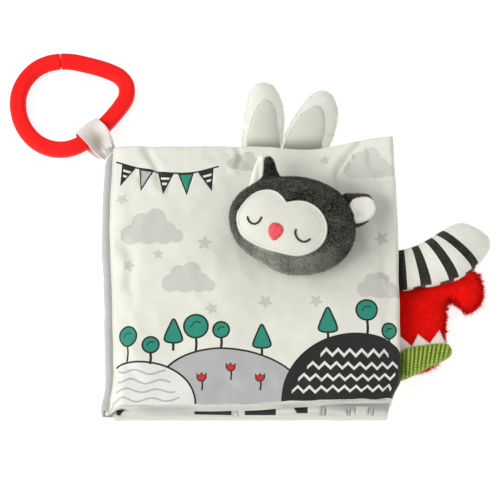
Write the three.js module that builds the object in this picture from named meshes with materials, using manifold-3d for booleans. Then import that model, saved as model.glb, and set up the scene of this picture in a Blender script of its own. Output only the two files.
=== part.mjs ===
// A crinkle cloth book for a baby, lying on its back cover.
// Millimetres, +Z up. X runs across the page (spine at -X), Y up the page.
// Origin: the centre of the back cover's underside.
//
// Three padded leaves turn on the outer face of the spine, each on the line
// between it and the leaf below. Every leaf is two fabric panels sewn round
// the edge, with batting and a crinkle film between them. A stuffed animal
// head is sewn on the front cover. Ears, a striped tail and a corduroy jaw
// are sewn in the edges of the middle leaf, a fleece tail in the edge of the
// back cover, and a ribbon at the top of the spine holds a plastic link ring.
import * as THREE from 'three';
import * as BufferGeometryUtils from 'three/addons/utils/BufferGeometryUtils.js';
import Module from 'manifold-3d';

const wasm = await Module();
wasm.setup();

// ---------------------------------------------------------------- dimensions
const GAP = 0.3;              // clearance between pieces that touch
const LEAF_H = 3.85;          // half the thickness of a padded leaf
const PITCH = 8.0;            // leaf to leaf
const PANEL = 0.9;            // fabric with its backing
const SPINE_X = -80.0;        // outer face of the spine
const SPINE_T = 3.4;
const PAGE_X0 = -76.0;
const FRONT = { x0: PAGE_X0, x1: 76.0, y0: -69.5, y1: 73.0 };
const MIDDLE = { x0: PAGE_X0, x1: 75.0, y0: -71.0, y1: 72.0 };
const BACK = { x0: PAGE_X0, x1: 74.5, y0: -72.0, y1: 71.5 };
const leafZ = (k) => LEAF_H + PITCH * k;

const RING_HALF_W = 4.25;     // link ring band, half width in plan
const RING_HALF_T = 3.5;      // half its thickness
const RING_Z = 5.4;
const RING_SLOT = 1.3;        // slot at the far side of the ring

const HEAD_C = [20.0, 24.6];  // head centre on the cover
const HEAD_Z = 37.0;          // its widest plane
const HEAD_UP = 18.0;         // dome above that plane
const HEAD_DOWN = 12.8;       // flatter back below it

// ------------------------------------------------------------------- helpers
const group = new THREE.Group();

function material(color, roughness, metalness = 0) {
  return new THREE.MeshStandardMaterial({ color, roughness, metalness });
}

function add(name, geometry, mat) {
  const mesh = new THREE.Mesh(geometry, mat);
  mesh.name = name;
  group.add(mesh);
  return mesh;
}

function indexed(points, tris) {
  const g = new THREE.BufferGeometry();
  g.setAttribute('position', new THREE.Float32BufferAttribute(points.flat(), 3));
  g.setIndex(tris.flat());
  return g;
}

// A closed body from rings of equal length: side walls between them and a
// fan over the first and the last ring.
function loft(rings) {
  const n = rings[0].length;
  const pts = rings.flat().map((p) => p.slice());
  const tris = [];
  for (let r = 0; r + 1 < rings.length; r++) {
    for (let i = 0; i < n; i++) {
      const a = r * n + i, b = r * n + (i + 1) % n;
      const c = a + n, d = b + n;
      tris.push([a, b, d], [a, d, c]);
    }
  }
  const mid = (ring) => [0, 1, 2].map((k) => ring.reduce((s, p) => s + p[k], 0) / ring.length);
  pts.push(mid(rings[0]), mid(rings[rings.length - 1]));
  const lo = pts.length - 2, hi = pts.length - 1, base = (rings.length - 1) * n;
  for (let i = 0; i < n; i++) {
    const j = (i + 1) % n;
    tris.push([lo, j, i], [hi, base + i, base + j]);
  }
  const g = indexed(pts, tris);
  if (volume(g) < 0) {
    const idx = g.getIndex().array;
    for (let i = 0; i < idx.length; i += 3) [idx[i + 1], idx[i + 2]] = [idx[i + 2], idx[i + 1]];
  }
  return g;
}

function volume(g) {
  const p = g.getAttribute('position'), idx = g.getIndex().array;
  let v = 0;
  const a = new THREE.Vector3(), b = new THREE.Vector3(), c = new THREE.Vector3();
  for (let i = 0; i < idx.length; i += 3) {
    a.fromBufferAttribute(p, idx[i]); b.fromBufferAttribute(p, idx[i + 1]); c.fromBufferAttribute(p, idx[i + 2]);
    v += a.dot(b.clone().cross(c)) / 6;
  }
  return v;
}

function toManifold(g) {
  let m = g.clone();
  m.deleteAttribute('normal');
  m.deleteAttribute('uv');
  m = BufferGeometryUtils.mergeVertices(m, 1e-4);
  return new wasm.Manifold(new wasm.Mesh({
    numProp: 3,
    vertProperties: new Float32Array(m.getAttribute('position').array),
    triVerts: new Uint32Array(m.getIndex().array),
  }));
}

function fromManifold(man) {
  const m = man.getMesh();
  const g = new THREE.BufferGeometry();
  g.setAttribute('position', new THREE.BufferAttribute(new Float32Array(m.vertProperties), 3));
  g.setIndex(Array.from(m.triVerts));
  return g;
}

const cut = (a, b) => fromManifold(toManifold(a).subtract(toManifold(b)));
const join = (a, b) => fromManifold(toManifold(a).add(toManifold(b)));

// A rounded rectangle, inset by d, at height z.
function rect(b, d, z, r = 5, seg = 2) {
  const out = [];
  const rr = Math.max(r - d * 0.5, 1.2);
  const cx = [b.x1 - d - rr, b.x0 + d + rr], cy = [b.y1 - d - rr, b.y0 + d + rr];
  const corners = [[cx[0], cy[0], 0], [cx[1], cy[0], 90], [cx[1], cy[1], 180], [cx[0], cy[1], 270]];
  for (const [x, y, a0] of corners) {
    for (let i = 0; i <= seg; i++) {
      const a = THREE.MathUtils.degToRad(a0 + 90 * i / seg);
      out.push([x + rr * Math.cos(a), y + rr * Math.sin(a), z]);
    }
  }
  return out;
}

// One fabric panel of a leaf: a shallow dish, open towards the leaf's middle.
// side is +1 for the upper panel and -1 for the lower one.
function panel(b, zc, side) {
  const h = LEAF_H - PANEL;
  const z = (v) => zc + side * v;
  const seam = GAP / 2;
  return loft([
    rect(b, 16, z(LEAF_H)), rect(b, 7, z(LEAF_H * 0.93)), rect(b, 2.2, z(LEAF_H * 0.62)), rect(b, 0, z(seam)),
    rect(b, 1.8, z(seam)), rect(b, 3.4, z(h * 0.55)), rect(b, 7.4, z(h * 0.9)), rect(b, 16, z(h)),
  ]);
}

function batting(b, zc) {
  const lo = zc - (LEAF_H - PANEL - GAP), hi = zc + (LEAF_H - PANEL - 2 * GAP - 0.35);
  return loft([rect(b, 17, lo), rect(b, 5.4, lo + 1.3), rect(b, 5.2, hi - 1.3), rect(b, 17, hi)]);
}

function film(b, zc) {
  const hi = zc + (LEAF_H - PANEL - GAP);
  return loft([rect(b, 18, hi - 0.32), rect(b, 18, hi)]);
}

// A star-shaped outline resampled by angle round its centre.
function radial(outline, c, n) {
  const out = [];
  for (let i = 0; i < n; i++) {
    const a = 2 * Math.PI * i / n, dx = Math.cos(a), dy = Math.sin(a);
    let best = 0;
    for (let k = 0; k < outline.length; k++) {
      const p = outline[k], q = outline[(k + 1) % outline.length];
      const ex = q[0] - p[0], ey = q[1] - p[1];
      const den = dx * ey - dy * ex;
      if (Math.abs(den) < 1e-9) continue;
      const t = ((p[0] - c[0]) * ey - (p[1] - c[1]) * ex) / den;
      const u = ((p[0] - c[0]) * dy - (p[1] - c[1]) * dx) / den;
      if (t > 0 && u >= -1e-9 && u <= 1 + 1e-9) best = Math.max(best, t);
    }
    out.push([dx * best, dy * best]);
  }
  return out;
}

// A closed smooth outline through the given corner points.
function smooth(points, n, tension = 0.5) {
  const curve = new THREE.CatmullRomCurve3(points.map((p) => new THREE.Vector3(p[0], p[1], 0)), true, 'centripetal', tension);
  return curve.getSpacedPoints(n).slice(0, n).map((p) => [p.x, p.y]);
}

// A body swept along a path of stations: each is
// [x, y, z, half width, half thickness], widths across the path in plan.
function sweep(stations, n, shrink = 0, from = 0, to = 1) {
  const P = new THREE.CatmullRomCurve3(stations.map((s) => new THREE.Vector3(s[0], s[1], s[2])), false, 'centripetal');
  const steps = Math.round((stations.length - 1) * 1.5);
  const rings = [];
  for (let i = 0; i <= steps; i++) {
    const t = from + (to - from) * i / steps;
    const p = P.getPoint(t), d = P.getTangent(t);
    const side = new THREE.Vector3(-d.y, d.x, 0).normalize();
    const up = new THREE.Vector3().crossVectors(d, side).normalize();
    const f = t * (stations.length - 1), k = Math.min(Math.floor(f), stations.length - 2), u = f - k;
    const e = u * u * (3 - 2 * u);
    const w = Math.max(stations[k][3] * (1 - e) + stations[k + 1][3] * e - shrink, 0.25);
    const h = Math.max(stations[k][4] * (1 - e) + stations[k + 1][4] * e - shrink, 0.2);
    const ring = [];
    for (let j = 0; j < n; j++) {
      const a = 2 * Math.PI * j / n;
      const q = p.clone().addScaledVector(side, w * Math.cos(a)).addScaledVector(up, h * Math.sin(a));
      ring.push([q.x, q.y, q.z]);
    }
    rings.push(ring);
  }
  return loft(rings);
}

// A sewn skin over a stuffed sweep, open at its seam end, and its stuffing.
function stuffed(stations, n, skin, cutBox) {
  const outer = sweep(stations, n);
  const inner = sweep(stations, n, skin, 0, 0.975);
  const shell = fromManifold(toManifold(outer).subtract(toManifold(inner)).subtract(toManifold(cutBox)));
  const fill = fromManifold(toManifold(sweep(stations, n, skin + GAP, 0, 0.965)).subtract(toManifold(cutBox)));
  return [shell, fill];
}

function box(x0, x1, y0, y1, z0, z1) {
  const g = new THREE.BoxGeometry(x1 - x0, y1 - y0, z1 - z0);
  g.translate((x0 + x1) / 2, (y0 + y1) / 2, (z0 + z1) / 2);
  return g;
}

// ----------------------------------------------------------------- materials
const satin = material(0xe4e4df, 0.5);
const lining = material(0xdedfd9, 0.7);
const wadding = material(0xf2f1ec, 0.95);
const crinkle = material(0xd8dde0, 0.25);
const spineCloth = material(0xb9bbb9, 0.6);
const ribbonCloth = material(0xe2dcda, 0.45);
const redPlastic = material(0xe8202a, 0.25);
const greyPlush = material(0x42423d, 0.95);
const whitePlush = material(0xebece3, 0.95);
const whiteSatin = material(0xdadcd4, 0.6);
const pinkFelt = material(0xf04058, 0.8);
const blackThread = material(0x1c1c1a, 0.7);
const redFleece = material(0xd8150f, 0.95);
const whiteFelt = material(0xece8e4, 0.9);
const greenCord = material(0x87a532, 0.85);

// -------------------------------------------------------------------- leaves
for (const [name, b, k] of [['back_cover', BACK, 0], ['middle_leaf', MIDDLE, 1], ['front_cover', FRONT, 2]]) {
  const z = leafZ(k);
  const upper = k === 2 ? 'outer_panel' : k === 1 ? 'front_panel' : 'inner_panel';
  const lower = k === 2 ? 'inner_panel' : k === 1 ? 'back_panel' : 'outer_panel';
  add(`${name}_${upper}`, panel(b, z, 1), k === 2 ? satin : lining);
  add(`${name}_crinkle_film`, film(b, z), crinkle);
  add(`${name}_batting`, batting(b, z), wadding);
  add(`${name}_${lower}`, panel(b, z, -1), k === 0 ? satin : lining);
}

// The spine cloth, in the three stretches that its two fold lines leave.
for (const [name, k] of [['spine_back_strip', 0], ['spine_middle_strip', 1], ['spine_front_strip', 2]]) {
  const z0 = PITCH * k + (k ? GAP / 2 : 0), z1 = PITCH * (k + 1) - GAP / 2 - (k === 2 ? 0.15 : 0);
  add(name, box(SPINE_X, SPINE_X + SPINE_T, -69, 71, z0, z1), spineCloth);
}

// ------------------------------------------------------- link ring and ribbon
{
  const mid = [
    [-91.6, 129.0], [-78.5, 124.7], [-71.6, 119.8], [-69.3, 113.7], [-70.6, 108.0], [-75.1, 101.0],
    [-81.3, 94.0], [-87.6, 88.2], [-95.5, 82.6], [-105.5, 79.1], [-116.6, 82.2], [-124.5, 92.0], [-128.9, 103.5],
    [-129.2, 112.2], [-126.2, 120.3], [-119.6, 127.2],
  ].map((p) => new THREE.Vector3(p[0], p[1], RING_Z));
  const start = new THREE.Vector3(-106.4 + RING_SLOT / 2, 131.5, RING_Z);
  const end = new THREE.Vector3(-106.4 - RING_SLOT / 2, 131.5, RING_Z);
  const curve = new THREE.CatmullRomCurve3([start, ...mid, end], false, 'centripetal');
  const steps = 46, n = 8, rings = [];
  for (let i = 0; i <= steps; i++) {
    const p = curve.getPointAt(i / steps), d = curve.getTangentAt(i / steps);
    const side = new THREE.Vector3(-d.y, d.x, 0).normalize();
    const ring = [];
    for (let j = 0; j < n; j++) {
      const a = 2 * Math.PI * (j + 0.5) / n;
      const sq = (v) => Math.sign(v) * Math.pow(Math.abs(v), 0.85);
      const q = p.clone().addScaledVector(side, RING_HALF_W * sq(Math.cos(a)));
      q.z += RING_HALF_T * sq(Math.sin(a));
      ring.push([q.x, q.y, q.z]);
    }
    rings.push(ring);
  }
  add('link_ring', loft(rings), redPlastic);

  // The ribbon: one strip that goes under the ring's bar, round it and back.
  const c = [-87.2, 88.2], t = [0.77, 0.638], nrm = [-0.638, 0.77];
  const path = [
    [-16.6, 4.9, 2.3], [-12.5, 3.0, 4.0], [-8.0, 1.3, 5.6], [-4.0, 0.65, 6.4], [1.5, 0.65, 6.5], [4.9, 1.3, 6.6], [6.0, 3.0, 6.6],
    [6.15, RING_Z, 6.6], [6.0, 8.0, 6.6], [4.9, 9.7, 6.6], [1.5, 10.3, 6.5], [-4.0, 10.2, 6.4], [-8.0, 9.2, 5.6], [-12.5, 7.8, 4.0], [-16.6, 6.4, 2.3],
  ];
  const T = 0.35, rings2 = [];
  path.forEach(([s, z, w], i) => {
    const a = path[Math.max(i - 1, 0)], b2 = path[Math.min(i + 1, path.length - 1)];
    const ds = b2[0] - a[0], dz = b2[1] - a[1], L = Math.hypot(ds, dz);
    const ns = -dz / L, nz = ds / L;
    const at = (k, v) => [
      c[0] + nrm[0] * (s + ns * v) + t[0] * k, c[1] + nrm[1] * (s + ns * v) + t[1] * k, z + nz * v];
    const o = s < -5 ? -3.2 * Math.min(1, (-5 - s) / 11.6) : 0;
    rings2.push([at(-w + o, -T), at(w + o, -T), at(w + o, T), at(-w + o, T)]);
  });
  add('hanging_ribbon', loft(rings2), ribbonCloth);
}

// ------------------------------------------------------------- animal head
const headOutline = smooth([
  [-13.6, 29.5], [-11.6, 39.0], [-4.0, 46.2], [5.0, 50.8], [16.5, 52.6], [27.5, 51.8], [37.6, 47.7], [46.0, 41.4], [51.2, 33.5],
  [53.3, 24.3], [52.4, 14.2], [47.2, 5.6], [37.2, -0.9], [24.1, -3.2], [13.2, -1.6], [4.0, 4.4], [-4.9, 10.2], [-10.9, 18.0],
], 72);
const HEAD_N = 22;
const headRays = radial(headOutline, HEAD_C, HEAD_N);
const headRing = (s, z, d = 0) => headRays.map(([x, y]) => {
  const L = Math.hypot(x, y), k = Math.max(s * L - d, 0.05) / L;
  return [HEAD_C[0] + x * k, HEAD_C[1] + y * k, z];
});

// Height of the head's dome over a point of the plan, skin included.
function headTop(x, y, lift = 0) {
  const dx = x - HEAD_C[0], dy = y - HEAD_C[1];
  const a = (Math.atan2(dy, dx) + 2 * Math.PI) % (2 * Math.PI);
  const f = a / (2 * Math.PI) * HEAD_N, i = Math.floor(f) % HEAD_N, j = (i + 1) % HEAD_N, u = f - Math.floor(f);
  const L = Math.hypot(...headRays[i]) * (1 - u) + Math.hypot(...headRays[j]) * u;
  const r = Math.min(Math.hypot(dx, dy) / L, 1);
  return HEAD_Z + HEAD_UP * Math.pow(1 - Math.pow(r, 2.3), 0.5) + lift;
}

{
  const dome = (H, e) => [0.3, 0.55, 0.76, 0.92, 1].map((s) => [s, H * Math.pow(Math.max(1 - Math.pow(s, e), 0), 0.5)]);
  const skin = 1.1;
  const front = [
    ...dome(HEAD_UP, 2.3).map(([s, h]) => headRing(s, HEAD_Z + GAP / 2 + h)),
    ...dome(HEAD_UP - skin, 2.3).reverse().map(([s, h]) => headRing(s, HEAD_Z + GAP / 2 + h, skin)),
  ];
  add('head_front_plush', loft(front), greyPlush);
  const back = [
    ...dome(HEAD_DOWN, 3.2).map(([s, h]) => headRing(s, HEAD_Z - GAP / 2 - h)),
    ...dome(HEAD_DOWN - skin, 3.2).reverse().map(([s, h]) => headRing(s, HEAD_Z - GAP / 2 - h, skin)),
  ];
  add('head_back_plush', loft(back), greyPlush);
  const up = dome(HEAD_UP - skin - 2 * GAP, 2.3).map(([s, h]) => headRing(s, HEAD_Z + h, skin + 2 * GAP));
  const down = dome(HEAD_DOWN - skin - 2 * GAP, 3.2).slice(0, -1).reverse().map(([s, h]) => headRing(s, HEAD_Z - h, skin + 2 * GAP));
  add('head_stuffing', loft([...up, ...down]), wadding);

  // Two-lobed face patch, laid over the dome.
  const faceC = [15.0, 17.0];
  const faceOutline = smooth([
    [-10.3, 20.0], [-8.0, 28.2], [-1.0, 34.6], [6.4, 37.6], [12.6, 34.6], [16.6, 30.2], [22.6, 31.2], [30.0, 29.4], [36.6, 23.6],
    [38.4, 15.9], [35.6, 7.4], [28.8, 2.0], [20.6, 0.4], [12.6, 2.2], [4.6, 5.6], [-4.0, 9.6], [-9.0, 14.4],
  ], 64);
  const rays = radial(faceOutline, faceC, 30);
  const ring = (s, lift) => rays.map(([x, y]) => {
    const X = faceC[0] + x * s, Y = faceC[1] + y * s;
    return [X, Y, headTop(X, Y, lift)];
  });
  const inset = [0.3, 0.65, 0.86, 1];
  add('face_patch', loft([...inset.map((s) => ring(s, 2.5)), ...inset.slice().reverse().map((s) => ring(s, 1.7))]), whitePlush);

  // Closed eyes: embroidered arcs lying on the patch.
  const arc = (pts) => {
    const c3 = new THREE.CatmullRomCurve3(pts.map((p) => new THREE.Vector3(p[0], p[1], 0)), false, 'centripetal');
    const rings = [];
    for (let i = 0; i <= 8; i++) {
      const p = c3.getPoint(i / 8), d = c3.getTangent(i / 8), s = [-d.y, d.x];
      const r = 0.62;
      const z = headTop(p.x, p.y, 3.5);
      rings.push([[-1, 0], [-0.6, -0.7], [0.6, -0.7], [1, 0], [0.6, 0.7], [-0.6, 0.7]].map(
        ([a, b]) => [p.x + s[0] * r * a, p.y + s[1] * r * a, z + r * b]));
    }
    return loft(rings);
  };
  add('left_eye_stitching', arc([[-3.9, 21.6], [-2.6, 17.9], [0.2, 16.2], [2.8, 17.4], [4.3, 20.5]]), blackThread);
  add('right_eye_stitching', arc([[21.5, 14.2], [22.6, 9.4], [25.2, 7.0], [28.0, 7.2], [29.6, 9.0]]), blackThread);

  // Padded beak.
  const beakOutline = smooth([[7.2, 16.8], [11.4, 17.8], [15.8, 16.6], [15.2, 13.0], [12.8, 9.0], [10.3, 7.2], [8.2, 9.6], [7.0, 13.2]], 32);
  const bc = [11.3, 13.2], bRays = radial(beakOutline, bc, 16);
  const bRing = (s, lift) => bRays.map(([x, y]) => [bc[0] + x * s, bc[1] + y * s, headTop(bc[0] + x * s, bc[1] + y * s, lift)]);
  add('beak', loft([bRing(0.3, 5.4), bRing(0.65, 5.0), bRing(0.9, 4.0), bRing(1, 3.0), bRing(0.6, 3.0)]), pinkFelt);

  // The head's own two ears, each a plush back and a pale lining, sewn in
  // the head's side seam: each is cut back to the head's surface.
  const grown = loft([
    ...dome(HEAD_DOWN + 0.4, 3.2).map(([s, h]) => headRing(s, HEAD_Z - h, -0.45)),
    ...dome(HEAD_UP + 0.6, 2.3).slice(0, -1).reverse().map(([s, h]) => headRing(s, HEAD_Z + h, -0.45)),
  ]);
  const leftEar = [[9.6, 48.0, 39, 6.6, 2.8], [9.6, 52.0, 39.6, 5.6, 2.8], [8.6, 56.6, 40.2, 3.6, 2.4], [7.4, 60.6, 40.6, 1.0, 0.9]];
  const rightEar = [[48.0, 33.6, 33.5, 9.4, 2.6], [54.6, 33.8, 33.8, 8.8, 2.8], [60.6, 33.4, 34.4, 6.8, 2.4], [63.8, 33.0, 34.8, 2.8, 1.2]];
  add('left_ear_plush', cut(sweep(leftEar, 12), grown), greyPlush);
  const leftLining = sweep([[2.0, 45.0, 40.6, 3.6, 1.4], [1.6, 50.0, 41.2, 3.4, 1.5], [3.6, 56.0, 41.8, 2.2, 1.2], [5.6, 60.4, 41.8, 0.6, 0.6]], 10);
  add('left_ear_lining', fromManifold(toManifold(leftLining).subtract(toManifold(grown)).subtract(toManifold(sweep(leftEar, 12, -0.35)))), whiteSatin);
  add('right_ear_plush', cut(sweep(rightEar, 12), grown), greyPlush);
  const rightLining = sweep([[48.0, 29.6, 38.0, 7.6, 1.8], [54.8, 30.2, 38.4, 8.0, 2.0], [60.4, 30.6, 38.6, 6.4, 1.8], [63.4, 31.0, 38.6, 2.6, 0.9]], 12);
  add('right_ear_lining', fromManifold(toManifold(rightLining).subtract(toManifold(grown)).subtract(toManifold(sweep(rightEar, 12, -0.35)))), whiteSatin);
}

// --------------------------------------------- ears in the middle leaf's top
{
  const zs = leafZ(1);
  const ears = {
    left: [[4.6, 70.0, zs, 7.0, 1.2], [4.8, 74.6, zs, 8.2, 1.4], [5.2, 80.0, zs - 0.8, 9.6, 3.6], [6.2, 92.0, zs - 3.0, 11.2, 5.0], [6.6, 104.0, zs - 5.2, 9.2, 4.8], [6.0, 112.6, zs - 6.4, 5.8, 3.8], [5.6, 117.4, zs - 7.2, 1.6, 1.4]],
    right: [[26.2, 70.0, zs, 7.6, 1.2], [27.0, 74.6, zs, 9.0, 1.4], [29.0, 80.0, zs - 0.8, 10.6, 3.6], [33.4, 91.0, zs - 3.0, 10.8, 5.0], [36.2, 101.0, zs - 5.2, 8.6, 4.8], [37.0, 108.4, zs - 6.4, 5.6, 3.8], [37.3, 112.8, zs - 7.2, 1.6, 1.4]],
  };
  const trim = box(-20, 60, 60, 72.4, 0, 30);
  for (const [side, st] of Object.entries(ears)) {
    const [shell, fill] = stuffed(st, 10, 0.9, trim);
    add(`${side}_long_ear_fleece`, shell, whitePlush);
    add(`${side}_long_ear_filling`, fill, wadding);
    const mid = st.slice(2, 6).map((s, i) => [s[0], s[1], s[2] + s[4] + GAP + 0.75 - (i === 3 ? 0.2 : 0), s[3] * 0.5, 0.45]);
    add(`${side}_long_ear_lining`, sweep(mid, 8), whiteSatin);
  }
}

// ------------------------------------- striped tail in the middle leaf's side
{
  const zs = leafZ(1);
  const st = [[72.0, 4.6, zs, 10.6, 1.2], [77.0, 4.7, zs + 0.2, 11.0, 1.6], [80.6, 5.0, zs + 2.6, 11.4, 4.6], [90.0, 8.6, zs + 8.2, 12.8, 8.6], [99.0, 12.6, zs + 10.0, 14.0, 9.6],
    [108.0, 16.4, zs + 9.4, 14.8, 9.6], [116.0, 18.6, zs + 8.2, 12.4, 8.6], [121.6, 20.0, zs + 7.4, 8.6, 6.4], [125.2, 20.8, zs + 7.0, 2.6, 2.2]];
  const [shell, fill] = stuffed(st, 12, 1.0, box(60, 75.4, -20, 40, 0, 40));
  add('striped_tail_plush', shell, whitePlush);
  add('striped_tail_stuffing', fill, wadding);
}

// ------------------------------------- toothed jaw in the middle leaf's side
{
  const zs = leafZ(1);
  const outline = [[77.6, -56.4], [84.4, -53.2], [92.3, -48.8], [100.6, -44.2], [103.6, -41.6], [104.2, -39.2], [103.2, -36.6], [100.6, -35.6], [93.0, -36.2], [85.0, -37.6], [77.6, -39.4], [75.4, -39.9], [75.4, -55.8]];
  const plate = (pts, z0, z1) => {
    const s = new THREE.Shape(pts.map((p) => new THREE.Vector2(p[0], p[1])));
    const g = new THREE.ExtrudeGeometry(s, { depth: z1 - z0, bevelEnabled: false });
    g.translate(0, 0, z0);
    return g;
  };
  const c = [89, -46];
  const fat = (s, z) => outline.map(([x, y]) => [x < 76 ? x : c[0] + (x - c[0]) * s, c[1] + (y - c[1]) * s, z]);
  const tab = (z, v) => fat(1, z).map(([x, y, q]) => [x, y, x < 79 ? zs + (q - zs) * 0.35 + v : q]);
  add('jaw_upper_corduroy', loft([fat(0.72, zs + 6.2).map(([x, y, q]) => [x, y, x < 79 ? zs + 1.6 : q]), fat(0.92, zs + 4.8).map(([x, y, q]) => [x, y, x < 79 ? zs + 1.5 : q]), tab(zs + 2.4, 0.4), tab(zs + 1.6, 0.2)]), greenCord);
  add('jaw_lower_corduroy', loft([fat(0.9, zs - 0.6), fat(1, zs - 0.2), fat(1, zs + 0.35)].map((r) => r.map(([x, y, q]) => [x, y, q]))), greenCord);
  const teeth = [[75.4, -38.9], [75.4, -30.6], [77.8, -30.2], [83.2, -35.2], [86.6, -28.6], [92.7, -33.6], [98.0, -26.4], [101.4, -34.4], [93.0, -35.6], [85.0, -36.8], [77.6, -38.6]];
  add('jaw_teeth', plate(teeth, zs + 0.8, zs + 2.0), whiteFelt);
}

// -------------------------------------- fleece tail in the back cover's side
{
  const zs = leafZ(0);
  const body = [[76.2, -27.0, 4.0, 6.0, 1.6], [78.6, -27.2, 4.6, 20.0, 3.2], [83.0, -26.6, 5.6, 25.0, 5.0], [91.0, -24.0, 6.0, 25.6, 5.6], [98.0, -21.0, 5.8, 22.6, 5.4], [103.2, -18.6, 5.4, 15.0, 4.0], [105.0, -18.0, 5.2, 5.0, 2.0]];
  const lobe = [[92.0, -4.0, 5.2, 7.0, 4.6], [102.0, -1.4, 5.4, 7.6, 5.0], [110.0, 0.6, 5.6, 8.4, 5.2], [115.6, -3.2, 5.8, 8.4, 5.4], [117.2, -9.4, 5.6, 6.6, 5.0], [117.0, -15.6, 5.2, 2.6, 2.8]];
  const neck = sweep([[72.0, -27.0, zs, 5.6, 1.5], [76.0, -27.0, zs + 0.1, 5.8, 1.6], [80.0, -27.0, zs + 0.4, 6.0, 2.2], [83.0, -27.0, zs + 1.0, 5.0, 2.2]], 12);
  const trim = box(60, 74.9, -60, 20, -5, 30);
  const outer = toManifold(sweep(body, 14)).add(toManifold(sweep(lobe, 10))).add(toManifold(neck)).subtract(toManifold(trim)).subtract(toManifold(box(60, 140, -80, 40, -5, 0.05)));
  const skin = 1.2;
  const cavity = toManifold(sweep(body, 14, skin)).subtract(toManifold(box(60, 140, -80, 40, -5, 1.3)));
  const mouth = toManifold(box(73, 86, -29, -25, zs - 0.25, zs + 0.75));
  add('fleece_tail_plush', fromManifold(outer.subtract(cavity).subtract(mouth)), redFleece);
  const fill = toManifold(sweep(body, 14, skin + 2 * GAP)).subtract(toManifold(box(60, 80.5, -60, 20, -5, 30))).subtract(toManifold(box(102, 120, -60, 20, -5, 30)))
    .subtract(toManifold(box(60, 140, -80, 40, -5, 1.7)));
  add('fleece_tail_stuffing', fromManifold(fill), wadding);
}

export default group;
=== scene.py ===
import bpy, math, random
import numpy as np
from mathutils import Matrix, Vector, noise
from mathutils.geometry import delaunay_2d_cdt


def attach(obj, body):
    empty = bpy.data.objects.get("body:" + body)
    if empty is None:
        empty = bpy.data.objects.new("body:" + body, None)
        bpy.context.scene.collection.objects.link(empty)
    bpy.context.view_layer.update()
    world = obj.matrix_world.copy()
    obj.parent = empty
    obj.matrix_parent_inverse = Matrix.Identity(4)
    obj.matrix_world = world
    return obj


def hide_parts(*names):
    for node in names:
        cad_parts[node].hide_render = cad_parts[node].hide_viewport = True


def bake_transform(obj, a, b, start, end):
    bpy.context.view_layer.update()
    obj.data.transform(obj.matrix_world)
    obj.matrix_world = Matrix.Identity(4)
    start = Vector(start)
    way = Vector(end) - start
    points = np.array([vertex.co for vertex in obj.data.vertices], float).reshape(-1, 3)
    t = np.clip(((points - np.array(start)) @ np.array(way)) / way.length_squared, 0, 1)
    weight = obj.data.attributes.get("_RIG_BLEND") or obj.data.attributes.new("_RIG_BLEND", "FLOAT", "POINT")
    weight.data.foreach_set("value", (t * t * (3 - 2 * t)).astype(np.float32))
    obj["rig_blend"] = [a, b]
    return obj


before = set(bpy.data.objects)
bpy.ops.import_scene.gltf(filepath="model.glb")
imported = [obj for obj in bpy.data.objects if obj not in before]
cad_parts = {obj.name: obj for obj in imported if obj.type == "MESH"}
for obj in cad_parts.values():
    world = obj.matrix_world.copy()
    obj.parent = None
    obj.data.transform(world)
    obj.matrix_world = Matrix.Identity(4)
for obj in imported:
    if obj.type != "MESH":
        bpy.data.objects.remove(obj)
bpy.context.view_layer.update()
MM = 0.001
scene = bpy.context.scene

# ------------------------------------------------------------------ camera
ELEV = math.radians(70)
DIST = 1.4
TARGET = Vector((-0.00212, 0.01466, 0.024))
cam_data = bpy.data.cameras.new("camera")
cam_data.sensor_width = 36.0
cam_data.lens = (DIST / 0.00053) * 36.0 / 500.0
cam_data.clip_start, cam_data.clip_end = 0.05, 20
cam = bpy.data.objects.new("camera", cam_data)
cam.location = TARGET + Vector((0, -DIST * math.cos(ELEV), DIST * math.sin(ELEV)))
cam.rotation_euler = (math.pi / 2 - ELEV, 0, 0)
scene.collection.objects.link(cam)
scene.camera = cam

# ------------------------------------------------------------------- stage
def area_light(name, loc, size, power, color=(1, 1, 1)):
    d = bpy.data.lights.new(name, "AREA")
    d.shape, d.size, d.size_y, d.energy, d.color = "RECTANGLE", size, size, power, color
    o = bpy.data.objects.new(name, d)
    o.location = loc
    o.rotation_euler = (Vector((0, 0, 0.02)) - Vector(loc)).to_track_quat("-Z", "Y").to_euler()
    scene.collection.objects.link(o)
    return o

area_light("key_light", (-0.95, -0.42, 0.95), 0.8, 10.5)
area_light("right_fill", (1.0, -0.25, 0.65), 0.8, 2.2)
area_light("left_fill", (-1.0, 0.35, 0.55), 0.8, 2.6)
area_light("back_fill", (0.15, 1.05, 0.75), 0.8, 0.8)
world = bpy.data.worlds.new("world")
world.use_nodes = True
world.node_tree.nodes["Background"].inputs[0].default_value = (1.0, 1.0, 0.985, 1)
world.node_tree.nodes["Background"].inputs[1].default_value = 0.45
scene.world = world
scene.view_settings.view_transform = "Standard"
scene.view_settings.look = "None"

# --------------------------------------------------------------- materials
def tree(name):
    m = bpy.data.materials.new(name)
    m.use_nodes = True
    nt = m.node_tree
    b = nt.nodes["Principled BSDF"]
    return m, nt, b

def node(nt, kind, **kw):
    n = nt.nodes.new(kind)
    for k, v in kw.items():
        if k.startswith("in_"):
            key = k[3:].replace("_", " ")
            n.inputs[key].default_value = v
        else:
            setattr(n, k, v)
    return n

def link(nt, a, b):
    nt.links.new(a, b)

def coords(nt, scale=(1, 1, 1), rot=(0, 0, 0)):
    tc = node(nt, "ShaderNodeTexCoord")
    mp = node(nt, "ShaderNodeMapping")
    mp.inputs["Scale"].default_value = scale
    mp.inputs["Rotation"].default_value = rot
    link(nt, tc.outputs["Object"], mp.inputs["Vector"])
    return mp.outputs["Vector"]

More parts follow.
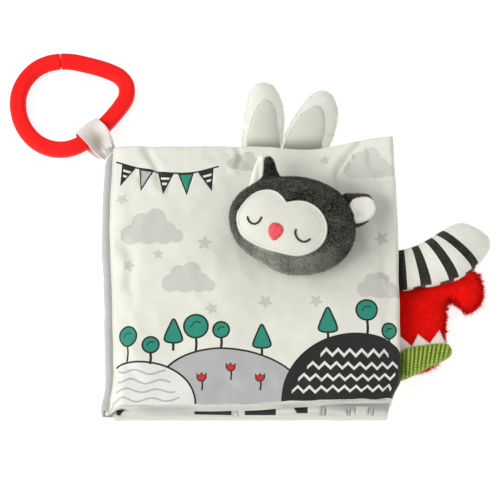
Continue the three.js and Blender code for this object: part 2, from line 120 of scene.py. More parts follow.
def noise_tex(nt, vec, scale, detail=2.0, rough=0.5, distort=0.0):
    n = node(nt, "ShaderNodeTexNoise")
    n.inputs["Scale"].default_value = scale
    n.inputs["Detail"].default_value = detail
    n.inputs["Roughness"].default_value = rough
    n.inputs["Distortion"].default_value = distort
    link(nt, vec, n.inputs["Vector"])
    return n.outputs["Fac"]

def ramp(nt, fac, stops):
    r = node(nt, "ShaderNodeValToRGB")
    e = r.color_ramp.elements
    while len(e) > len(stops):
        e.remove(e[-1])
    while len(e) < len(stops):
        e.new(0.5)
    for el, (p, c) in zip(e, stops):
        el.position = p
        el.color = (*c, 1) if len(c) == 3 else c
    link(nt, fac, r.inputs["Fac"])
    return r.outputs["Color"]

def math_node(nt, op, a, b=None):
    n = node(nt, "ShaderNodeMath", operation=op)
    for i, v in enumerate((a, b)):
        if v is None:
            continue
        if isinstance(v, (int, float)):
            n.inputs[i].default_value = v
        else:
            link(nt, v, n.inputs[i])
    return n.outputs[0]

def mix_rgb(nt, fac, a, b, blend="MIX"):
    n = node(nt, "ShaderNodeMix", data_type="RGBA", blend_type=blend)
    for sock, v in ((n.inputs["Factor"], fac), (n.inputs[6], a), (n.inputs[7], b)):
        if isinstance(v, (int, float)):
            sock.default_value = v
        elif isinstance(v, tuple):
            sock.default_value = (*v, 1) if len(v) == 3 else v
        else:
            link(nt, v, sock)
    return n.outputs[2]

def bump(nt, b, height, strength, dist):
    n = node(nt, "ShaderNodeBump")
    n.inputs["Strength"].default_value = strength
    n.inputs["Distance"].default_value = dist
    link(nt, height, n.inputs["Height"])
    link(nt, n.outputs["Normal"], b.inputs["Normal"])
    return n

def s2l(c):
    """0-255 display colour to linear."""
    out = []
    for v in c:
        v = v / 255
        out.append(v / 12.92 if v <= 0.04045 else ((v + 0.055) / 1.055) ** 2.4)
    return tuple(out)

def scaled(c, k):
    return tuple(min(1.0, v * k) for v in c)

def satin(name, rgb, rough=0.5, weave=0.12, mottled=0.05, sheen=0.15, painted_light=None):
    """A printed polyester satin: fine diagonal weave, soft mottling of colour and gloss; an optional attribute mixes in
    a painted shade or painted highlight colour.
    """
    c = s2l(rgb)
    m, nt, b = tree(name)
    vec = coords(nt)
    big = noise_tex(nt, vec, 45, 3, 0.55)
    fine = noise_tex(nt, vec, 1400, 2, 0.6)
    col = ramp(nt, big, [(0.3, scaled(c, 1 - mottled)), (0.7, scaled(c, 1 + mottled * 0.6))])
    col = mix_rgb(nt, 0.12, col, ramp(nt, fine, [(0.3, scaled(c, 0.86)), (0.7, scaled(c, 1.08))]))
    # Painted light: a per-vertex attribute mixes the colour toward the given painted shade or painted highlight colour.
    if painted_light is not None:
        at = node(nt, "ShaderNodeAttribute", attribute_name="painted_light")
        col = mix_rgb(nt, at.outputs["Fac"], col, s2l(painted_light))
    link(nt, col, b.inputs["Base Color"])
    w1 = node(nt, "ShaderNodeTexWave", wave_type="BANDS", bands_direction="X", wave_profile="SIN")
    w1.inputs["Scale"].default_value = 520
    w1.inputs["Distortion"].default_value = 0.6
    link(nt, coords(nt, rot=(0, 0, 0.6)), w1.inputs["Vector"])
    w2 = node(nt, "ShaderNodeTexWave", wave_type="BANDS", bands_direction="Y", wave_profile="SIN")
    w2.inputs["Scale"].default_value = 420
    link(nt, vec, w2.inputs["Vector"])
    h = math_node(nt, "ADD", w1.outputs["Fac"], w2.outputs["Fac"])
    h = math_node(nt, "ADD", h, math_node(nt, "MULTIPLY", noise_tex(nt, vec, 260, 3, 0.6), 1.6))
    bump(nt, b, h, weave, 0.0002)
    rr = ramp(nt, noise_tex(nt, vec, 90, 2), [(0.3, (rough - 0.07,) * 3), (0.7, (rough + 0.07,) * 3)])
    link(nt, rr, b.inputs["Roughness"])
    b.inputs["Sheen Weight"].default_value = sheen
    b.inputs["Sheen Roughness"].default_value = 0.4
    b.inputs["Specular IOR Level"].default_value = 0.4
    return m

def plush(name, dark, light, pile=900, strength=0.8, sheen=0.5, patches=70, sheen_tint=(1, 1, 1), painted_light_tone=None, span=(0.34, 0.66), grained=0.45):
    """Short velour pile: brushed patches, fine fibre grain and a soft rim; an optional attribute mixes in a painted
    light colour.
    """
    m, nt, b = tree(name)
    vec = coords(nt)
    patch = noise_tex(nt, vec, patches, 4, 0.6, 0.6)
    grain = noise_tex(nt, coords(nt, (1, 1, 1)), pile, 3, 0.65)
    fac = math_node(nt, "ADD", math_node(nt, "MULTIPLY", patch, 1 - grained), math_node(nt, "MULTIPLY", grain, grained))
    col = ramp(nt, fac, [(span[0], s2l(dark)), (span[1], s2l(light))])
    # Painted light: a per-vertex attribute mixes in a lighter painted sheen or a darker painted shade, broken up by the
    # grain.
    if painted_light_tone is not None:
        at = node(nt, "ShaderNodeAttribute", attribute_name="painted_light_tone")
        f = math_node(nt, "MULTIPLY", at.outputs["Fac"], math_node(nt, "ADD", math_node(nt, "MULTIPLY", grain, 0.9), 0.45))
        col = mix_rgb(nt, f, col, s2l(painted_light_tone))
    link(nt, col, b.inputs["Base Color"])
    b.inputs["Roughness"].default_value = 0.92
    b.inputs["Specular IOR Level"].default_value = 0.15
    b.inputs["Sheen Weight"].default_value = sheen
    b.inputs["Sheen Roughness"].default_value = 0.45
    b.inputs["Sheen Tint"].default_value = (*sheen_tint, 1)
    h = math_node(nt, "ADD", grain, math_node(nt, "MULTIPLY", noise_tex(nt, vec, pile * 0.35, 2), 0.8))
    bump(nt, b, h, strength, 0.0005)
    return m

def translucent(pack, share):
    """Lets light through a fibre material, as thin pile does at its outline."""
    m = pack
    nt = m.node_tree
    b = nt.nodes["Principled BSDF"]
    out = next(n for n in nt.nodes if n.type == "OUTPUT_MATERIAL")
    t = node(nt, "ShaderNodeBsdfTranslucent")
    link(nt, b.inputs["Base Color"].links[0].from_socket, t.inputs["Color"])
    mix = node(nt, "ShaderNodeMixShader")
    mix.inputs[0].default_value = share
    link(nt, b.outputs["BSDF"], mix.inputs[1])
    link(nt, t.outputs["BSDF"], mix.inputs[2])
    link(nt, mix.outputs["Shader"], out.inputs["Surface"])
    return m

OFFWHITE = (237, 237, 225)
# The cover's second colour is a painted shade, laid on the leaves' front walls and where other parts would shade them.
m_cover = satin("cover_satin", OFFWHITE, painted_light=(176, 177, 174))
m_line = satin("print_black", (34, 34, 33), 0.46, 0.12, 0.12, 0.1)
m_grey = satin("print_grey", (186, 187, 186))
m_pale = satin("print_pale_grey", (212, 212, 203))
m_teal = satin("print_teal", (40, 146, 122))
m_redp = satin("print_red", (214, 40, 40))
m_white = satin("print_white", (236, 236, 232))
m_page = satin("page_cloth", (228, 228, 224))
m_back = satin("back_satin", (222, 223, 219))
# The spine cloth's second colour is a painted highlight along its fold.
m_spine = satin("spine_cloth", (190, 189, 187), 0.55, 0.15, 0.05, painted_light=(252, 251, 248))
# The ribbon's second colour is a painted shade for its dimple and its gathered edge.
m_ribbon = satin("ribbon_satin", (236, 230, 224), 0.32, 0.2, 0.04, 0.2, painted_light=(168, 152, 142))
# The ear lining's second colour is a painted shade toward the base, under the cover's edge.
m_earsatin = satin("ear_lining", (221, 223, 209), 0.65, 0.2, 0.03, 0.2, painted_light=(150, 152, 138))
m_earlight = satin("ear_lining_light", (255, 253, 240), 0.6, 0.2, 0.02, 0.8)
m_face = satin("face_cloth", (231, 231, 219), 0.8, 0.3, 0.02, 0.2)
# The extra colours are painted light: a lighter painted sheen for the head's plush, a darker painted shade for the tail
# near the book.
m_headfur = plush("grey_plush", (4, 4, 3), (116, 116, 106), 1050, 1.3, 0.16, 52, (0.8, 0.82, 0.76), painted_light_tone=(170, 172, 158), span=(0.425, 0.625), grained=0.72)
m_whitefur = plush("white_plush", (234, 234, 222), (249, 248, 238), 800, 0.4, 0.3, 90, painted_light_tone=(196, 196, 182))
m_earfur = plush("ear_fleece", (240, 240, 228), (252, 252, 243), 620, 0.5, 0.3, 110, (1, 1, 0.94))
# A lighter copy of the ear fleece for fibres at the hem: its lighter colour is painted light, as at a lit outline; the
# translucency is the shader's own.
m_earfuzz = translucent(plush("ear_fleece_tips", (250, 250, 242), (254, 254, 248), 620, 0.2, 0.2, 110), 0.6)
m_stripe = plush("black_plush", (30, 30, 27), (66, 65, 58), 800, 0.8, 0.2, 90)
m_redfur = plush("red_fleece", (252, 3, 2), (255, 20, 10), 420, 0.6, 0.75, 60, (1, 0.03, 0.02))
# A lighter copy of the red fleece for its fibres, mostly at the outline: its lighter colour is painted light, as at a
# lit outline; the translucency is the shader's own.
m_redtip = translucent(plush("red_fleece_tips", (255, 34, 24), (255, 78, 60), 500, 0.3, 0.6, 120, (1, 0.08, 0.06)), 0.68)
m_thread = satin("dark_thread", (38, 38, 36), 0.5, 0.4, 0.05, 0.3)
m_wthread = satin("white_thread", (234, 234, 222), 0.5, 0.4, 0.03, 0.3)
# The felt is white; its pink cast is painted light bounced from the red fleece.
m_felt = plush("white_felt", (242, 227, 221), (252, 240, 235), 700, 0.35, 0.3, 120)
m_beak = plush("beak_felt", (255, 56, 72), (255, 140, 146), 1100, 0.8, 0.25, 500, (1, 0.7, 0.7))

def corduroy():
    m, nt, b = tree("green_corduroy")
    at = node(nt, "ShaderNodeAttribute", attribute_name="rib")
    vec = coords(nt)
    grain = noise_tex(nt, vec, 900, 3, 0.7)
    f = math_node(nt, "ADD", math_node(nt, "MULTIPLY", at.outputs["Fac"], 0.7), math_node(nt, "MULTIPLY", grain, 0.45))
    # Painted shade and highlight: the rib value darkens the grooves between ribs and lightens their crests, varied by
    # the tufts.
    col = ramp(nt, f, [(0.12, s2l((70, 90, 10))), (0.5, s2l((142, 172, 44))), (0.95, s2l((214, 234, 118)))])
    link(nt, col, b.inputs["Base Color"])
    b.inputs["Roughness"].default_value = 0.9
    b.inputs["Sheen Weight"].default_value = 0.3
    b.inputs["Sheen Tint"].default_value = (0.8, 1, 0.5, 1)
    w = node(nt, "ShaderNodeTexWave", wave_type="BANDS", bands_direction="Y")
    w.inputs["Scale"].default_value = 240
    w.inputs["Distortion"].default_value = 2.0
    link(nt, vec, w.inputs["Vector"])
    bump(nt, b, math_node(nt, "ADD", grain, w.outputs["Fac"]), 0.6, 0.0004)
    return m

def plastic():
    m, nt, b = tree("link_plastic")
    vec = coords(nt)
    col = ramp(nt, noise_tex(nt, vec, 25, 2), [(0.3, s2l((255, 34, 33))), (0.7, s2l((255, 41, 40)))])
    link(nt, col, b.inputs["Base Color"])
    rr = ramp(nt, noise_tex(nt, vec, 300, 3), [(0.3, (0.34,) * 3), (0.7, (0.44,) * 3)])
    link(nt, rr, b.inputs["Roughness"])
    b.inputs["Coat Weight"].default_value = 0.0
    b.inputs["Coat Roughness"].default_value = 0.2
    b.inputs["Specular IOR Level"].default_value = 0.1
    b.inputs["IOR"].default_value = 1.35
    b.inputs["Subsurface Weight"].default_value = 0.0
    bump(nt, b, noise_tex(nt, vec, 600, 2), 0.04, 0.0002)
    return m

def wadding_mat():
    m, nt, b = tree("batting")
    vec = coords(nt)
    n = noise_tex(nt, vec, 500, 5, 0.7)
    link(nt, ramp(nt, n, [(0.3, s2l((232, 231, 224))), (0.7, s2l((250, 249, 244)))]), b.inputs["Base Color"])
    b.inputs["Roughness"].default_value = 0.95
    bump(nt, b, n, 1.0, 0.001)
    return m

def film_mat():
    m, nt, b = tree("crinkle_film")
    vec = coords(nt)
    n = noise_tex(nt, vec, 120, 4, 0.6, 1.2)
    link(nt, ramp(nt, n, [(0.3, s2l((214, 220, 222))), (0.7, s2l((236, 240, 242)))]), b.inputs["Base Color"])
    b.inputs["Roughness"].default_value = 0.16
    bump(nt, b, n, 0.9, 0.001)
    return m

m_cord = corduroy()
m_plastic = plastic()
m_wad = wadding_mat()
m_film = film_mat()

# ------------------------------------------------------------ mesh helpers
def build(name, V, faces, mats, mi=None, smooth=True, attrs=None):
    """V in mm. faces: a list of index tuples or arrays."""
    me = bpy.data.meshes.new(name)
    V = np.asarray(V, dtype=np.float64) * MM
    me.from_pydata(V.tolist(), [], [tuple(int(i) for i in f) for f in faces])
    for m in mats:
        me.materials.append(m)
    if mi is not None:
        me.polygons.foreach_set("material_index", np.asarray(mi, dtype=np.int32))
    if smooth:
        me.polygons.foreach_set("use_smooth", np.ones(len(me.polygons), dtype=bool))
    for key, vals in (attrs or {}).items():
        a = me.attributes.new(key, "FLOAT", "POINT")
        a.data.foreach_set("value", np.asarray(vals, dtype=np.float32))
    me.validate()
    me.update()
    ob = bpy.data.objects.new(name, me)
    scene.collection.objects.link(ob)
    return ob

def arrays(ob):
    me = ob.data
    V = np.empty(len(me.vertices) * 3)
    me.vertices.foreach_get("co", V)
    return V.reshape(-1, 3) / MM

def set_points(ob, V):
    ob.data.vertices.foreach_set("co", (np.asarray(V) * MM).ravel())
    ob.data.update()

def grid_faces(nu, nv, wrap_v=True, off=0):
    """Quads of a nu by nv grid of points, index u * nv + v."""
    F = []
    for i in range(nu - 1):
        for j in range(nv if wrap_v else nv - 1):
            a, b = off + i * nv + j, off + i * nv + (j + 1) % nv
            F.append((a, b, b + nv, a + nv))
    return F

def catmull(P, n, closed=False):
    """Points evenly spread along a Catmull-Rom curve through P."""
    P = np.asarray(P, dtype=float)
    k = len(P)
    seg = k if closed else k - 1
    out = []
    for s in range(seg):
        idx = [(s - 1), s, s + 1, s + 2]
        if closed:
            p = [P[i % k] for i in idx]
        else:
            p = [P[min(max(i, 0), k - 1)] for i in idx]
            if s == 0:
                p[0] = 2 * p[1] - p[2]
            if s == seg - 1:
                p[3] = 2 * p[2] - p[1]
        t = np.linspace(0, 1, 24, endpoint=False)[:, None]
        out.append(0.5 * (2 * p[1] + (p[2] - p[0]) * t + (2 * p[0] - 5 * p[1] + 4 * p[2] - p[3]) * t ** 2
                          + (-p[0] + 3 * p[1] - 3 * p[2] + p[3]) * t ** 3))
    out.append(P[:1] if closed else P[-1:])
    Q = np.concatenate(out)
    L = np.concatenate([[0], np.cumsum(np.linalg.norm(np.diff(Q, axis=0), axis=1))])
    s = np.linspace(0, L[-1], n + 1)[:-1] if closed else np.linspace(0, L[-1], n)
    return np.stack([np.interp(s, L, Q[:, d]) for d in range(Q.shape[1])], axis=1)

def inside(P, poly):
    x, y = P[:, 0], P[:, 1]
    c = np.zeros(len(P), dtype=bool)
    q = np.roll(poly, 1, axis=0)
    for (x1, y1), (x2, y2) in zip(poly, q):
        with np.errstate(divide="ignore", invalid="ignore"):
            hit = ((y1 > y) != (y2 > y)) & (x < (x2 - x1) * (y - y1) / (y2 - y1 + 1e-30) + x1)
        c ^= hit
    return c

def edge_dist(P, poly, closed=True):
    best = np.full(len(P), 1e9)
    q = np.roll(poly, -1, axis=0)
    n = len(poly) if closed else len(poly) - 1
    for i in range(n):
        a, b = poly[i], q[i]
        d = b - a
        t = np.clip(((P - a) @ d) / max(d @ d, 1e-12), 0, 1)
        best = np.minimum(best, np.linalg.norm(P - a - t[:, None] * d, axis=1))
    return best

def offset(poly, d):
    """Closed outline moved outward by d (counter-clockwise outlines)."""
    poly = np.asarray(poly, dtype=float)
    area = 0.5 * np.sum(poly[:, 0] * np.roll(poly[:, 1], -1) - np.roll(poly[:, 0], -1) * poly[:, 1])
    t = np.roll(poly, -1, axis=0) - np.roll(poly, 1, axis=0)
    t /= np.linalg.norm(t, axis=1)[:, None] + 1e-12
    n = np.stack([t[:, 1], -t[:, 0]], axis=1) * (1 if area > 0 else -1)
    return poly + n * d

def fill_outline(outline, step, extra=()):
    """Triangulates a closed outline with a grid of inner points: points, triangles, number of border points."""
    outline = np.asarray(outline, dtype=float)
    lo, hi = outline.min(0), outline.max(0)
    gx = np.arange(lo[0] + step * 0.37, hi[0], step)
    gy = np.arange(lo[1] + step * 0.41, hi[1], step * 0.87)
    G = np.array([(x + (step * 0.5 if k % 2 else 0), y) for k, y in enumerate(gy) for x in gx])
    G = G[inside(G, outline)]
    G = G[edge_dist(G, outline) > step * 0.45]
    P = np.concatenate([outline, G] + [np.asarray(e) for e in extra]) if len(G) else outline
    n = len(outline)
    ring = [(i, (i + 1) % n) for i in range(n)]
    v, e, f, ov, oe, of = delaunay_2d_cdt([Vector(p) for p in P.tolist()], ring, [], 1, 1e-5, True)
    order = [o[0] if o else -1 for o in ov]
    V = np.array([list(p) for p in v])
    F = np.array([tuple(t) for t in f if len(t) == 3])
    F = [tuple(t) for t in F[inside(V[F].mean(1), outline)].tolist()]
    back = {o: i for i, o in enumerate(order)}
    border = [back[i] for i in range(n)]
    return V, F, border

def nz(x, y, s, seed=0.0, z=0.0):
    return noise.noise(Vector((x * s + seed * 7.3, y * s - seed * 3.1, z * s + seed)))

def vnoise(P, s, seed=0.0):
    return np.array([noise.noise(Vector((p[0] * s + seed * 7.3, p[1] * s - seed * 3.1, p[2] * s + seed))) for p in P])

def normals_of(ob):
    me = ob.data
    N = np.empty(len(me.vertices) * 3)
    me.vertices.foreach_get("normal", N)
    return N.reshape(-1, 3)

def spikes(ob, count, length, width, seed, comb=None, comb_mix=0.5, jitter=0.35, mat=None, keep=None, clump=0, bend=0.25, size_fn=None, attr=None):
    """Points on a piece's surface and the fibres that stand there, as closed slim
    three-sided spikes with one bend; returned as arrays to join to the piece."""
    me = ob.data
    me.calc_loop_triangles()
    T = np.empty(len(me.loop_triangles) * 3, dtype=np.int64)
    me.loop_triangles.foreach_get("vertices", T)
    T = T.reshape(-1, 3)
    V = arrays(ob)
    N = normals_of(ob)
    A, B, C = V[T[:, 0]], V[T[:, 1]], V[T[:, 2]]
    area = 0.5 * np.linalg.norm(np.cross(B - A, C - A), axis=1)
    if keep is not None:
        area = area * keep((A + B + C) / 3)
    rng = np.random.default_rng(seed)
    cum = np.cumsum(area)
    t = np.searchsorted(cum, rng.random(count) * cum[-1])
    r1, r2 = np.sqrt(rng.random(count)), rng.random(count)
    w = np.stack([1 - r1, r1 * (1 - r2), r1 * r2], axis=1)
    P = np.einsum("ni,nij->nj", w, V[T[t]])
    D = np.einsum("ni,nij->nj", w, N[T[t]])
    D /= np.linalg.norm(D, axis=1)[:, None]
    nrm = D.copy()
    if clump:
        centres = P[rng.choice(len(P), clump, replace=False)]
        from mathutils.kdtree import KDTree
        kd = KDTree(len(centres))
        for i, c in enumerate(centres):
            kd.insert(c, i)
        kd.balance()
        near = np.array([kd.find(p)[1] for p in P])
        cdir = rng.normal(size=(clump, 3)) * 0.55
        lean = cdir[near]
        pull = centres[near] - P
    else:
        lean = np.zeros_like(P)
        pull = np.zeros_like(P)
    if comb is not None:
        c = comb(P, D)
        D = D * (1 - comb_mix) + c * comb_mix
    D = D + lean + rng.normal(size=D.shape) * jitter
    D /= np.linalg.norm(D, axis=1)[:, None]
    flip = np.einsum("ni,ni->n", D, nrm)
    D += nrm * np.maximum(0.12 - flip, 0)[:, None]
    D /= np.linalg.norm(D, axis=1)[:, None]
    L = length * (0.65 + 0.6 * rng.random(count))
    if size_fn is not None:
        L = L * size_fn(P)
    W = width * (0.75 + 0.5 * rng.random(count))
    up = np.where(np.abs(D[:, 2:3]) > 0.9, np.array([[1.0, 0, 0]]), np.array([[0, 0, 1.0]]))
    S1 = np.cross(D, up)
    S1 /= np.linalg.norm(S1, axis=1)[:, None]
    S2 = np.cross(D, S1)
    base = P - nrm * 0.25 * length * 0.3
    mid = P + D * (L * 0.5)[:, None] + pull * 0.18
    bendv = rng.normal(size=D.shape) * bend
    tip = P + D * L[:, None] + bendv * L[:, None] + pull * 0.45
    out = []
    for a in (0, 2 * math.pi / 3, 4 * math.pi / 3):
        out.append(base + (S1 * math.cos(a) + S2 * math.sin(a)) * W[:, None])
    for a in (0, 2 * math.pi / 3, 4 * math.pi / 3):
        out.append(mid + (S1 * math.cos(a) + S2 * math.sin(a)) * W[:, None] * 0.75)
    out.append(tip)
    pts = np.stack(out, axis=1).reshape(-1, 3)
    k = np.arange(count)[:, None] * 7
    tris = np.array([[0, 2, 1], [0, 1, 4], [0, 4, 3], [1, 2, 5], [1, 5, 4], [2, 0, 3], [2, 3, 5], [3, 4, 6], [4, 5, 6], [5, 3, 6]])
    F = (k[:, :, None] + tris[None]).reshape(-1, 3)
    extra = {}
    if attr:
        for key in attr:
            vals = np.empty(len(me.vertices), dtype=np.float32)
            me.attributes[key].data.foreach_get("value", vals)
            root = np.einsum("ni,ni->n", w, vals[T[t]])
            extra[key] = np.repeat(root, 7)
    fm = mat
    if isinstance(mat, str):
        pm = np.empty(len(me.polygons), dtype=np.int32)
        me.polygons.foreach_get("material_index", pm)
        tp = np.empty(len(me.loop_triangles), dtype=np.int32)
        me.loop_triangles.foreach_get("polygon_index", tp)
        fm = np.repeat(pm[tp[t]], 10)
    return pts, F, extra, fm

def with_spikes(ob, groups):
    """Joins fibre arrays to a piece's mesh, in one mesh."""
    me = ob.data
    V = [arrays(ob)]
    faces = [tuple(p.vertices) for p in me.polygons]
    mi = [p.material_index for p in me.polygons]
    attrs = {a.name: [] for a in me.attributes if a.data_type == "FLOAT" and a.domain == "POINT"}
    for key in attrs:
        vals = np.empty(len(me.vertices), dtype=np.float32)
        me.attributes[key].data.foreach_get("value", vals)
        attrs[key].append(vals)
    n = len(V[0])
    for pts, F, extra, fm in groups:
        V.append(pts)
        faces.extend(map(tuple, (F + n).tolist()))
        mi.extend(list(fm) if hasattr(fm, "__len__") else [fm or 0] * len(F))
        for key in attrs:
            attrs[key].append(extra.get(key, np.zeros(len(pts), dtype=np.float32)))
        n += len(pts)
    mats = [m for m in me.materials]
    name = ob.name
    bpy.data.objects.remove(ob)
    return build(name, np.concatenate(V), faces, mats, mi, True, {k: np.concatenate(v) for k, v in attrs.items()})

# ------------------------------------------------------------- cloth panels
LEAF_H, PITCH = 3.85, 8.0
FRONT = dict(x0=-76.8, x1=77.4, y0=-73.0, y1=76.2)
MIDDLE = dict(x0=-76.0, x1=75.0, y0=-73.4, y1=73.4)
BACK = dict(x0=-76.0, x1=74.5, y0=-73.6, y1=72.6)
NX, NY = 67, 63

def start_sheet(b, crown, seed, seam_wave=0.35):
    """The flat cut of one panel, slightly crowned, its sewn edge gathered by the thread."""
    X = np.linspace(b["x0"], b["x1"], NX)
    Y = np.linspace(b["y0"], b["y1"], NY)
    P = np.zeros((NY, NX, 3))
    P[..., 0], P[..., 1] = X[None, :], Y[:, None]
    u = (P[..., 0] - b["x0"]) / (b["x1"] - b["x0"]) * 2 - 1
    v = (P[..., 1] - b["y0"]) / (b["y1"] - b["y0"]) * 2 - 1
    P[..., 2] = crown * ((1 - u ** 10) * (1 - v ** 10)) ** 0.5
    for i in range(NX):
        for j in (0, NY - 1):
            P[j, i, 1] += (1 if j == 0 else -1) * (0.5 + seam_wave * nz(X[i], j, 0.07, seed))
            P[j, i, 2] += seam_wave * 0.8 * nz(X[i], j + 5, 0.09, seed + 2)
    for j in range(NY):
        for i in (0, NX - 1):
            P[j, i, 0] += (1 if i == 0 else -1) * (0.5 + seam_wave * nz(Y[j], i, 0.07, seed + 4))
            P[j, i, 2] += seam_wave * 0.8 * nz(Y[j], i + 5, 0.09, seed + 6)
    return P

def drape(P, pins, pressure, slack, frames, name):
    """Blender's cloth on the sheet P (mm), with pinned points; the result is applied."""
    ny, nx = P.shape[:2]
    K = 0.01                      # simulated at ten times its size
    V = (P.reshape(-1, 3) * K).tolist()
    F = [(j * nx + i, j * nx + i + 1, (j + 1) * nx + i + 1, (j + 1) * nx + i) for j in range(ny - 1) for i in range(nx - 1)]
    me = bpy.data.meshes.new(name)
    me.from_pydata(V, [], F)
    ob = bpy.data.objects.new(name, me)
    scene.collection.objects.link(ob)
    vg = ob.vertex_groups.new(name="pin")
    idx = np.nonzero(pins.ravel() > 0)[0]
    flat = pins.ravel()
    for i in idx:
        vg.add([int(i)], float(flat[i]), "REPLACE")
    mod = ob.modifiers.new("cloth", "CLOTH")
    s = mod.settings
    s.quality = 6
    s.mass = 0.25
    s.tension_stiffness = s.compression_stiffness = 18
    s.shear_stiffness = 6
    s.bending_stiffness = 0.25
    s.air_damping = 3
    s.tension_damping = s.compression_damping = 8
    s.use_pressure = True
    s.uniform_pressure_force = pressure
    s.vertex_group_mass = "pin"
    s.shrink_min = -slack
    s.effector_weights.gravity = 0
    mod.collision_settings.use_collision = False
    mod.point_cache.frame_start, mod.point_cache.frame_end = 1, frames
    for f in range(1, frames + 1):
        scene.frame_set(f)
    dg = bpy.context.evaluated_depsgraph_get()
    ev = ob.evaluated_get(dg)
    em = ev.to_mesh()
    out = np.empty(len(em.vertices) * 3)
    em.vertices.foreach_get("co", out)
    ev.to_mesh_clear()
    bpy.data.objects.remove(ob)
    bpy.data.meshes.remove(me)
    scene.frame_set(1)
    out = out.reshape(ny, nx, 3) / K
    move = out - P
    d = np.linalg.norm(move, axis=2, keepdims=True)
    return P + move * np.minimum(1, 6.0 / np.maximum(d, 1e-9))

def edge_pins(ny, nx):
    w = np.zeros((ny, nx))
    w[0, :] = w[-1, :] = 1
    w[:, 0] = w[:, -1] = 1
    return w

def smooth_grid(P, times, lock):
    for _ in range(times):
        Q = P.copy()
        Q[1:-1, 1:-1] = 0.5 * P[1:-1, 1:-1] + 0.125 * (P[:-2, 1:-1] + P[2:, 1:-1] + P[1:-1, :-2] + P[1:-1, 2:])
        P = np.where(lock[..., None] > 0.5, P, Q)
    return P

def sample_grid(P, b, XY):
    """Catmull-Rom sampling of the draped grid at plan points of the flat cut."""
    ny, nx = P.shape[:2]
    fx = np.clip((XY[:, 0] - b["x0"]) / (b["x1"] - b["x0"]), 0, 1) * (nx - 1)
    fy = np.clip((XY[:, 1] - b["y0"]) / (b["y1"] - b["y0"]), 0, 1) * (ny - 1)
    ix, iy = np.minimum(fx.astype(int), nx - 2), np.minimum(fy.astype(int), ny - 2)
    tx, ty = fx - ix, fy - iy
    def w(t):
        return [(-t + 2 * t ** 2 - t ** 3) / 2, (2 - 5 * t ** 2 + 3 * t ** 3) / 2, (t + 4 * t ** 2 - 3 * t ** 3) / 2, (-t ** 2 + t ** 3) / 2]
    wx, wy = w(tx), w(ty)
    out = np.zeros((len(XY), 3))
    Pp = np.pad(P, ((1, 1), (1, 1), (0, 0)), mode="reflect", reflect_type="odd")
    for a in range(4):
        for c in range(4):
            out += (wy[a] * wx[c])[:, None] * Pp[iy + a, ix + c]
    return out

HEAD_C = np.array([20.0, 24.6])

def make_sheets(b, seed, head=False):
    """Upper and lower draped sheets of one leaf, relative to its middle plane."""
    up = start_sheet(b, 2.4, seed)
    dn = up.copy()
    dn[..., 2] = -(up[..., 2])
    edge = edge_pins(NY, NX) > 0
    dn[edge] = up[edge]
    pins = edge_pins(NY, NX)
    pu = pins.copy()
    if head:
        r = np.hypot((up[..., 0] - HEAD_C[0]) / 1.15, up[..., 1] - HEAD_C[1])
        spot = r < 10
        pu[spot] = 1
        ang = math.radians(5) * np.exp(-(r / 16) ** 2)
        dx, dy = up[..., 0] - HEAD_C[0], up[..., 1] - HEAD_C[1]
        k = np.where(spot, 0.93, 1.0)
        nx_ = HEAD_C[0] + k * (dx * np.cos(ang) - dy * np.sin(ang))
        ny_ = HEAD_C[1] + k * (dx * np.sin(ang) + dy * np.cos(ang))
        up[..., 0] = np.where(spot, nx_, up[..., 0])
        up[..., 1] = np.where(spot, ny_, up[..., 1])
        up[..., 2] = np.where(spot, 4.4, up[..., 2])
    U = drape(up, pu, 1.1, 0.035, 26, "sheet_up")
    U = smooth_grid(U, 2, pins)
    D = dn.copy()
    D[..., 2] *= -1
    flat = D.copy()
    D = drape(flat, pins, 1.0, 0.03, 22, "sheet_dn")
    D = smooth_grid(D, 2, pins)
    D[..., 2] *= -1
    D[edge] = U[edge]
    return U, D

# ------------------------------------------------------------ print motifs
def circle(x, y, r, n=28, ry=None):
    a = np.linspace(0, 2 * math.pi, n, endpoint=False)
    return np.stack([x + r * np.cos(a), y + (ry or r) * np.sin(a)], axis=1)

def band(points, w, n=60):
    """A drawn line of width w along a smooth path."""
    C = catmull(points, n)
    t = np.gradient(C, axis=0)
    t /= np.linalg.norm(t, axis=1)[:, None] + 1e-12
    nrm = np.stack([-t[:, 1], t[:, 0]], axis=1) * w / 2
    return np.concatenate([C + nrm, (C - nrm)[::-1]])

def zigzag(x0, x1, y, pitch, amp, w, slope=0.0, phase=0.0):
    n = int(round((x1 - x0) / (pitch / 2)))
    pts = [(x0 + i * pitch / 2, y + slope * (i * pitch / 2) + (amp if i % 2 else 0)) for i in range(n + 1)]
    up = [(x, yy + w / 2) for x, yy in pts]
    return np.array(up + [(x, yy - w / 2) for x, yy in reversed(pts)])

def outlined(poly, ink, fill, w=0.95):
    return [(offset(poly, w / 2), ink), (offset(poly, -w / 2), fill)]

def blob(points, n=48):
    return catmull(points, n, closed=True)

COVER_MATS = [m_cover, m_line, m_grey, m_pale, m_teal, m_redp, m_white]
C_BASE, C_INK, C_GREY, C_PALE, C_TEAL, C_RED, C_WHITE = range(7)

def cloud(x, y, s):
    out = []
    for dx, dy, r in ((0, 0, 9), (-9, -2.5, 6), (9.5, -2, 6.8), (4, 5.5, 6.5), (-4, 4.5, 5.5), (16, -4.2, 4)):
        out.append((circle(x + dx * s, y + dy * s, r * s, 30), C_PALE))
    return out

def star(x, y, r, n=5, turn=0.0):
    a = np.linspace(0, 2 * math.pi, 2 * n, endpoint=False) + math.pi / 2 + turn
    k = np.where(np.arange(2 * n) % 2 == 0, r, r * 0.48)
    return np.stack([x + k * np.cos(a), y + k * np.sin(a)], axis=1)

def mound(x0, x1, y, h, lean=0.0, n=70, low=-70.8):
    """A round hill from x0 to x1 whose top stands h over y, closed below the cover's edge."""
    t = np.linspace(0, math.pi, n)
    xm, rx = (x0 + x1) / 2, (x1 - x0) / 2
    top = np.stack([xm - rx * np.cos(t) + lean * np.sin(t) ** 2, y + h * np.sin(t) ** 0.85], axis=1)
    return np.concatenate([[(x0, low)], top, [(x1, low)]])[::-1]

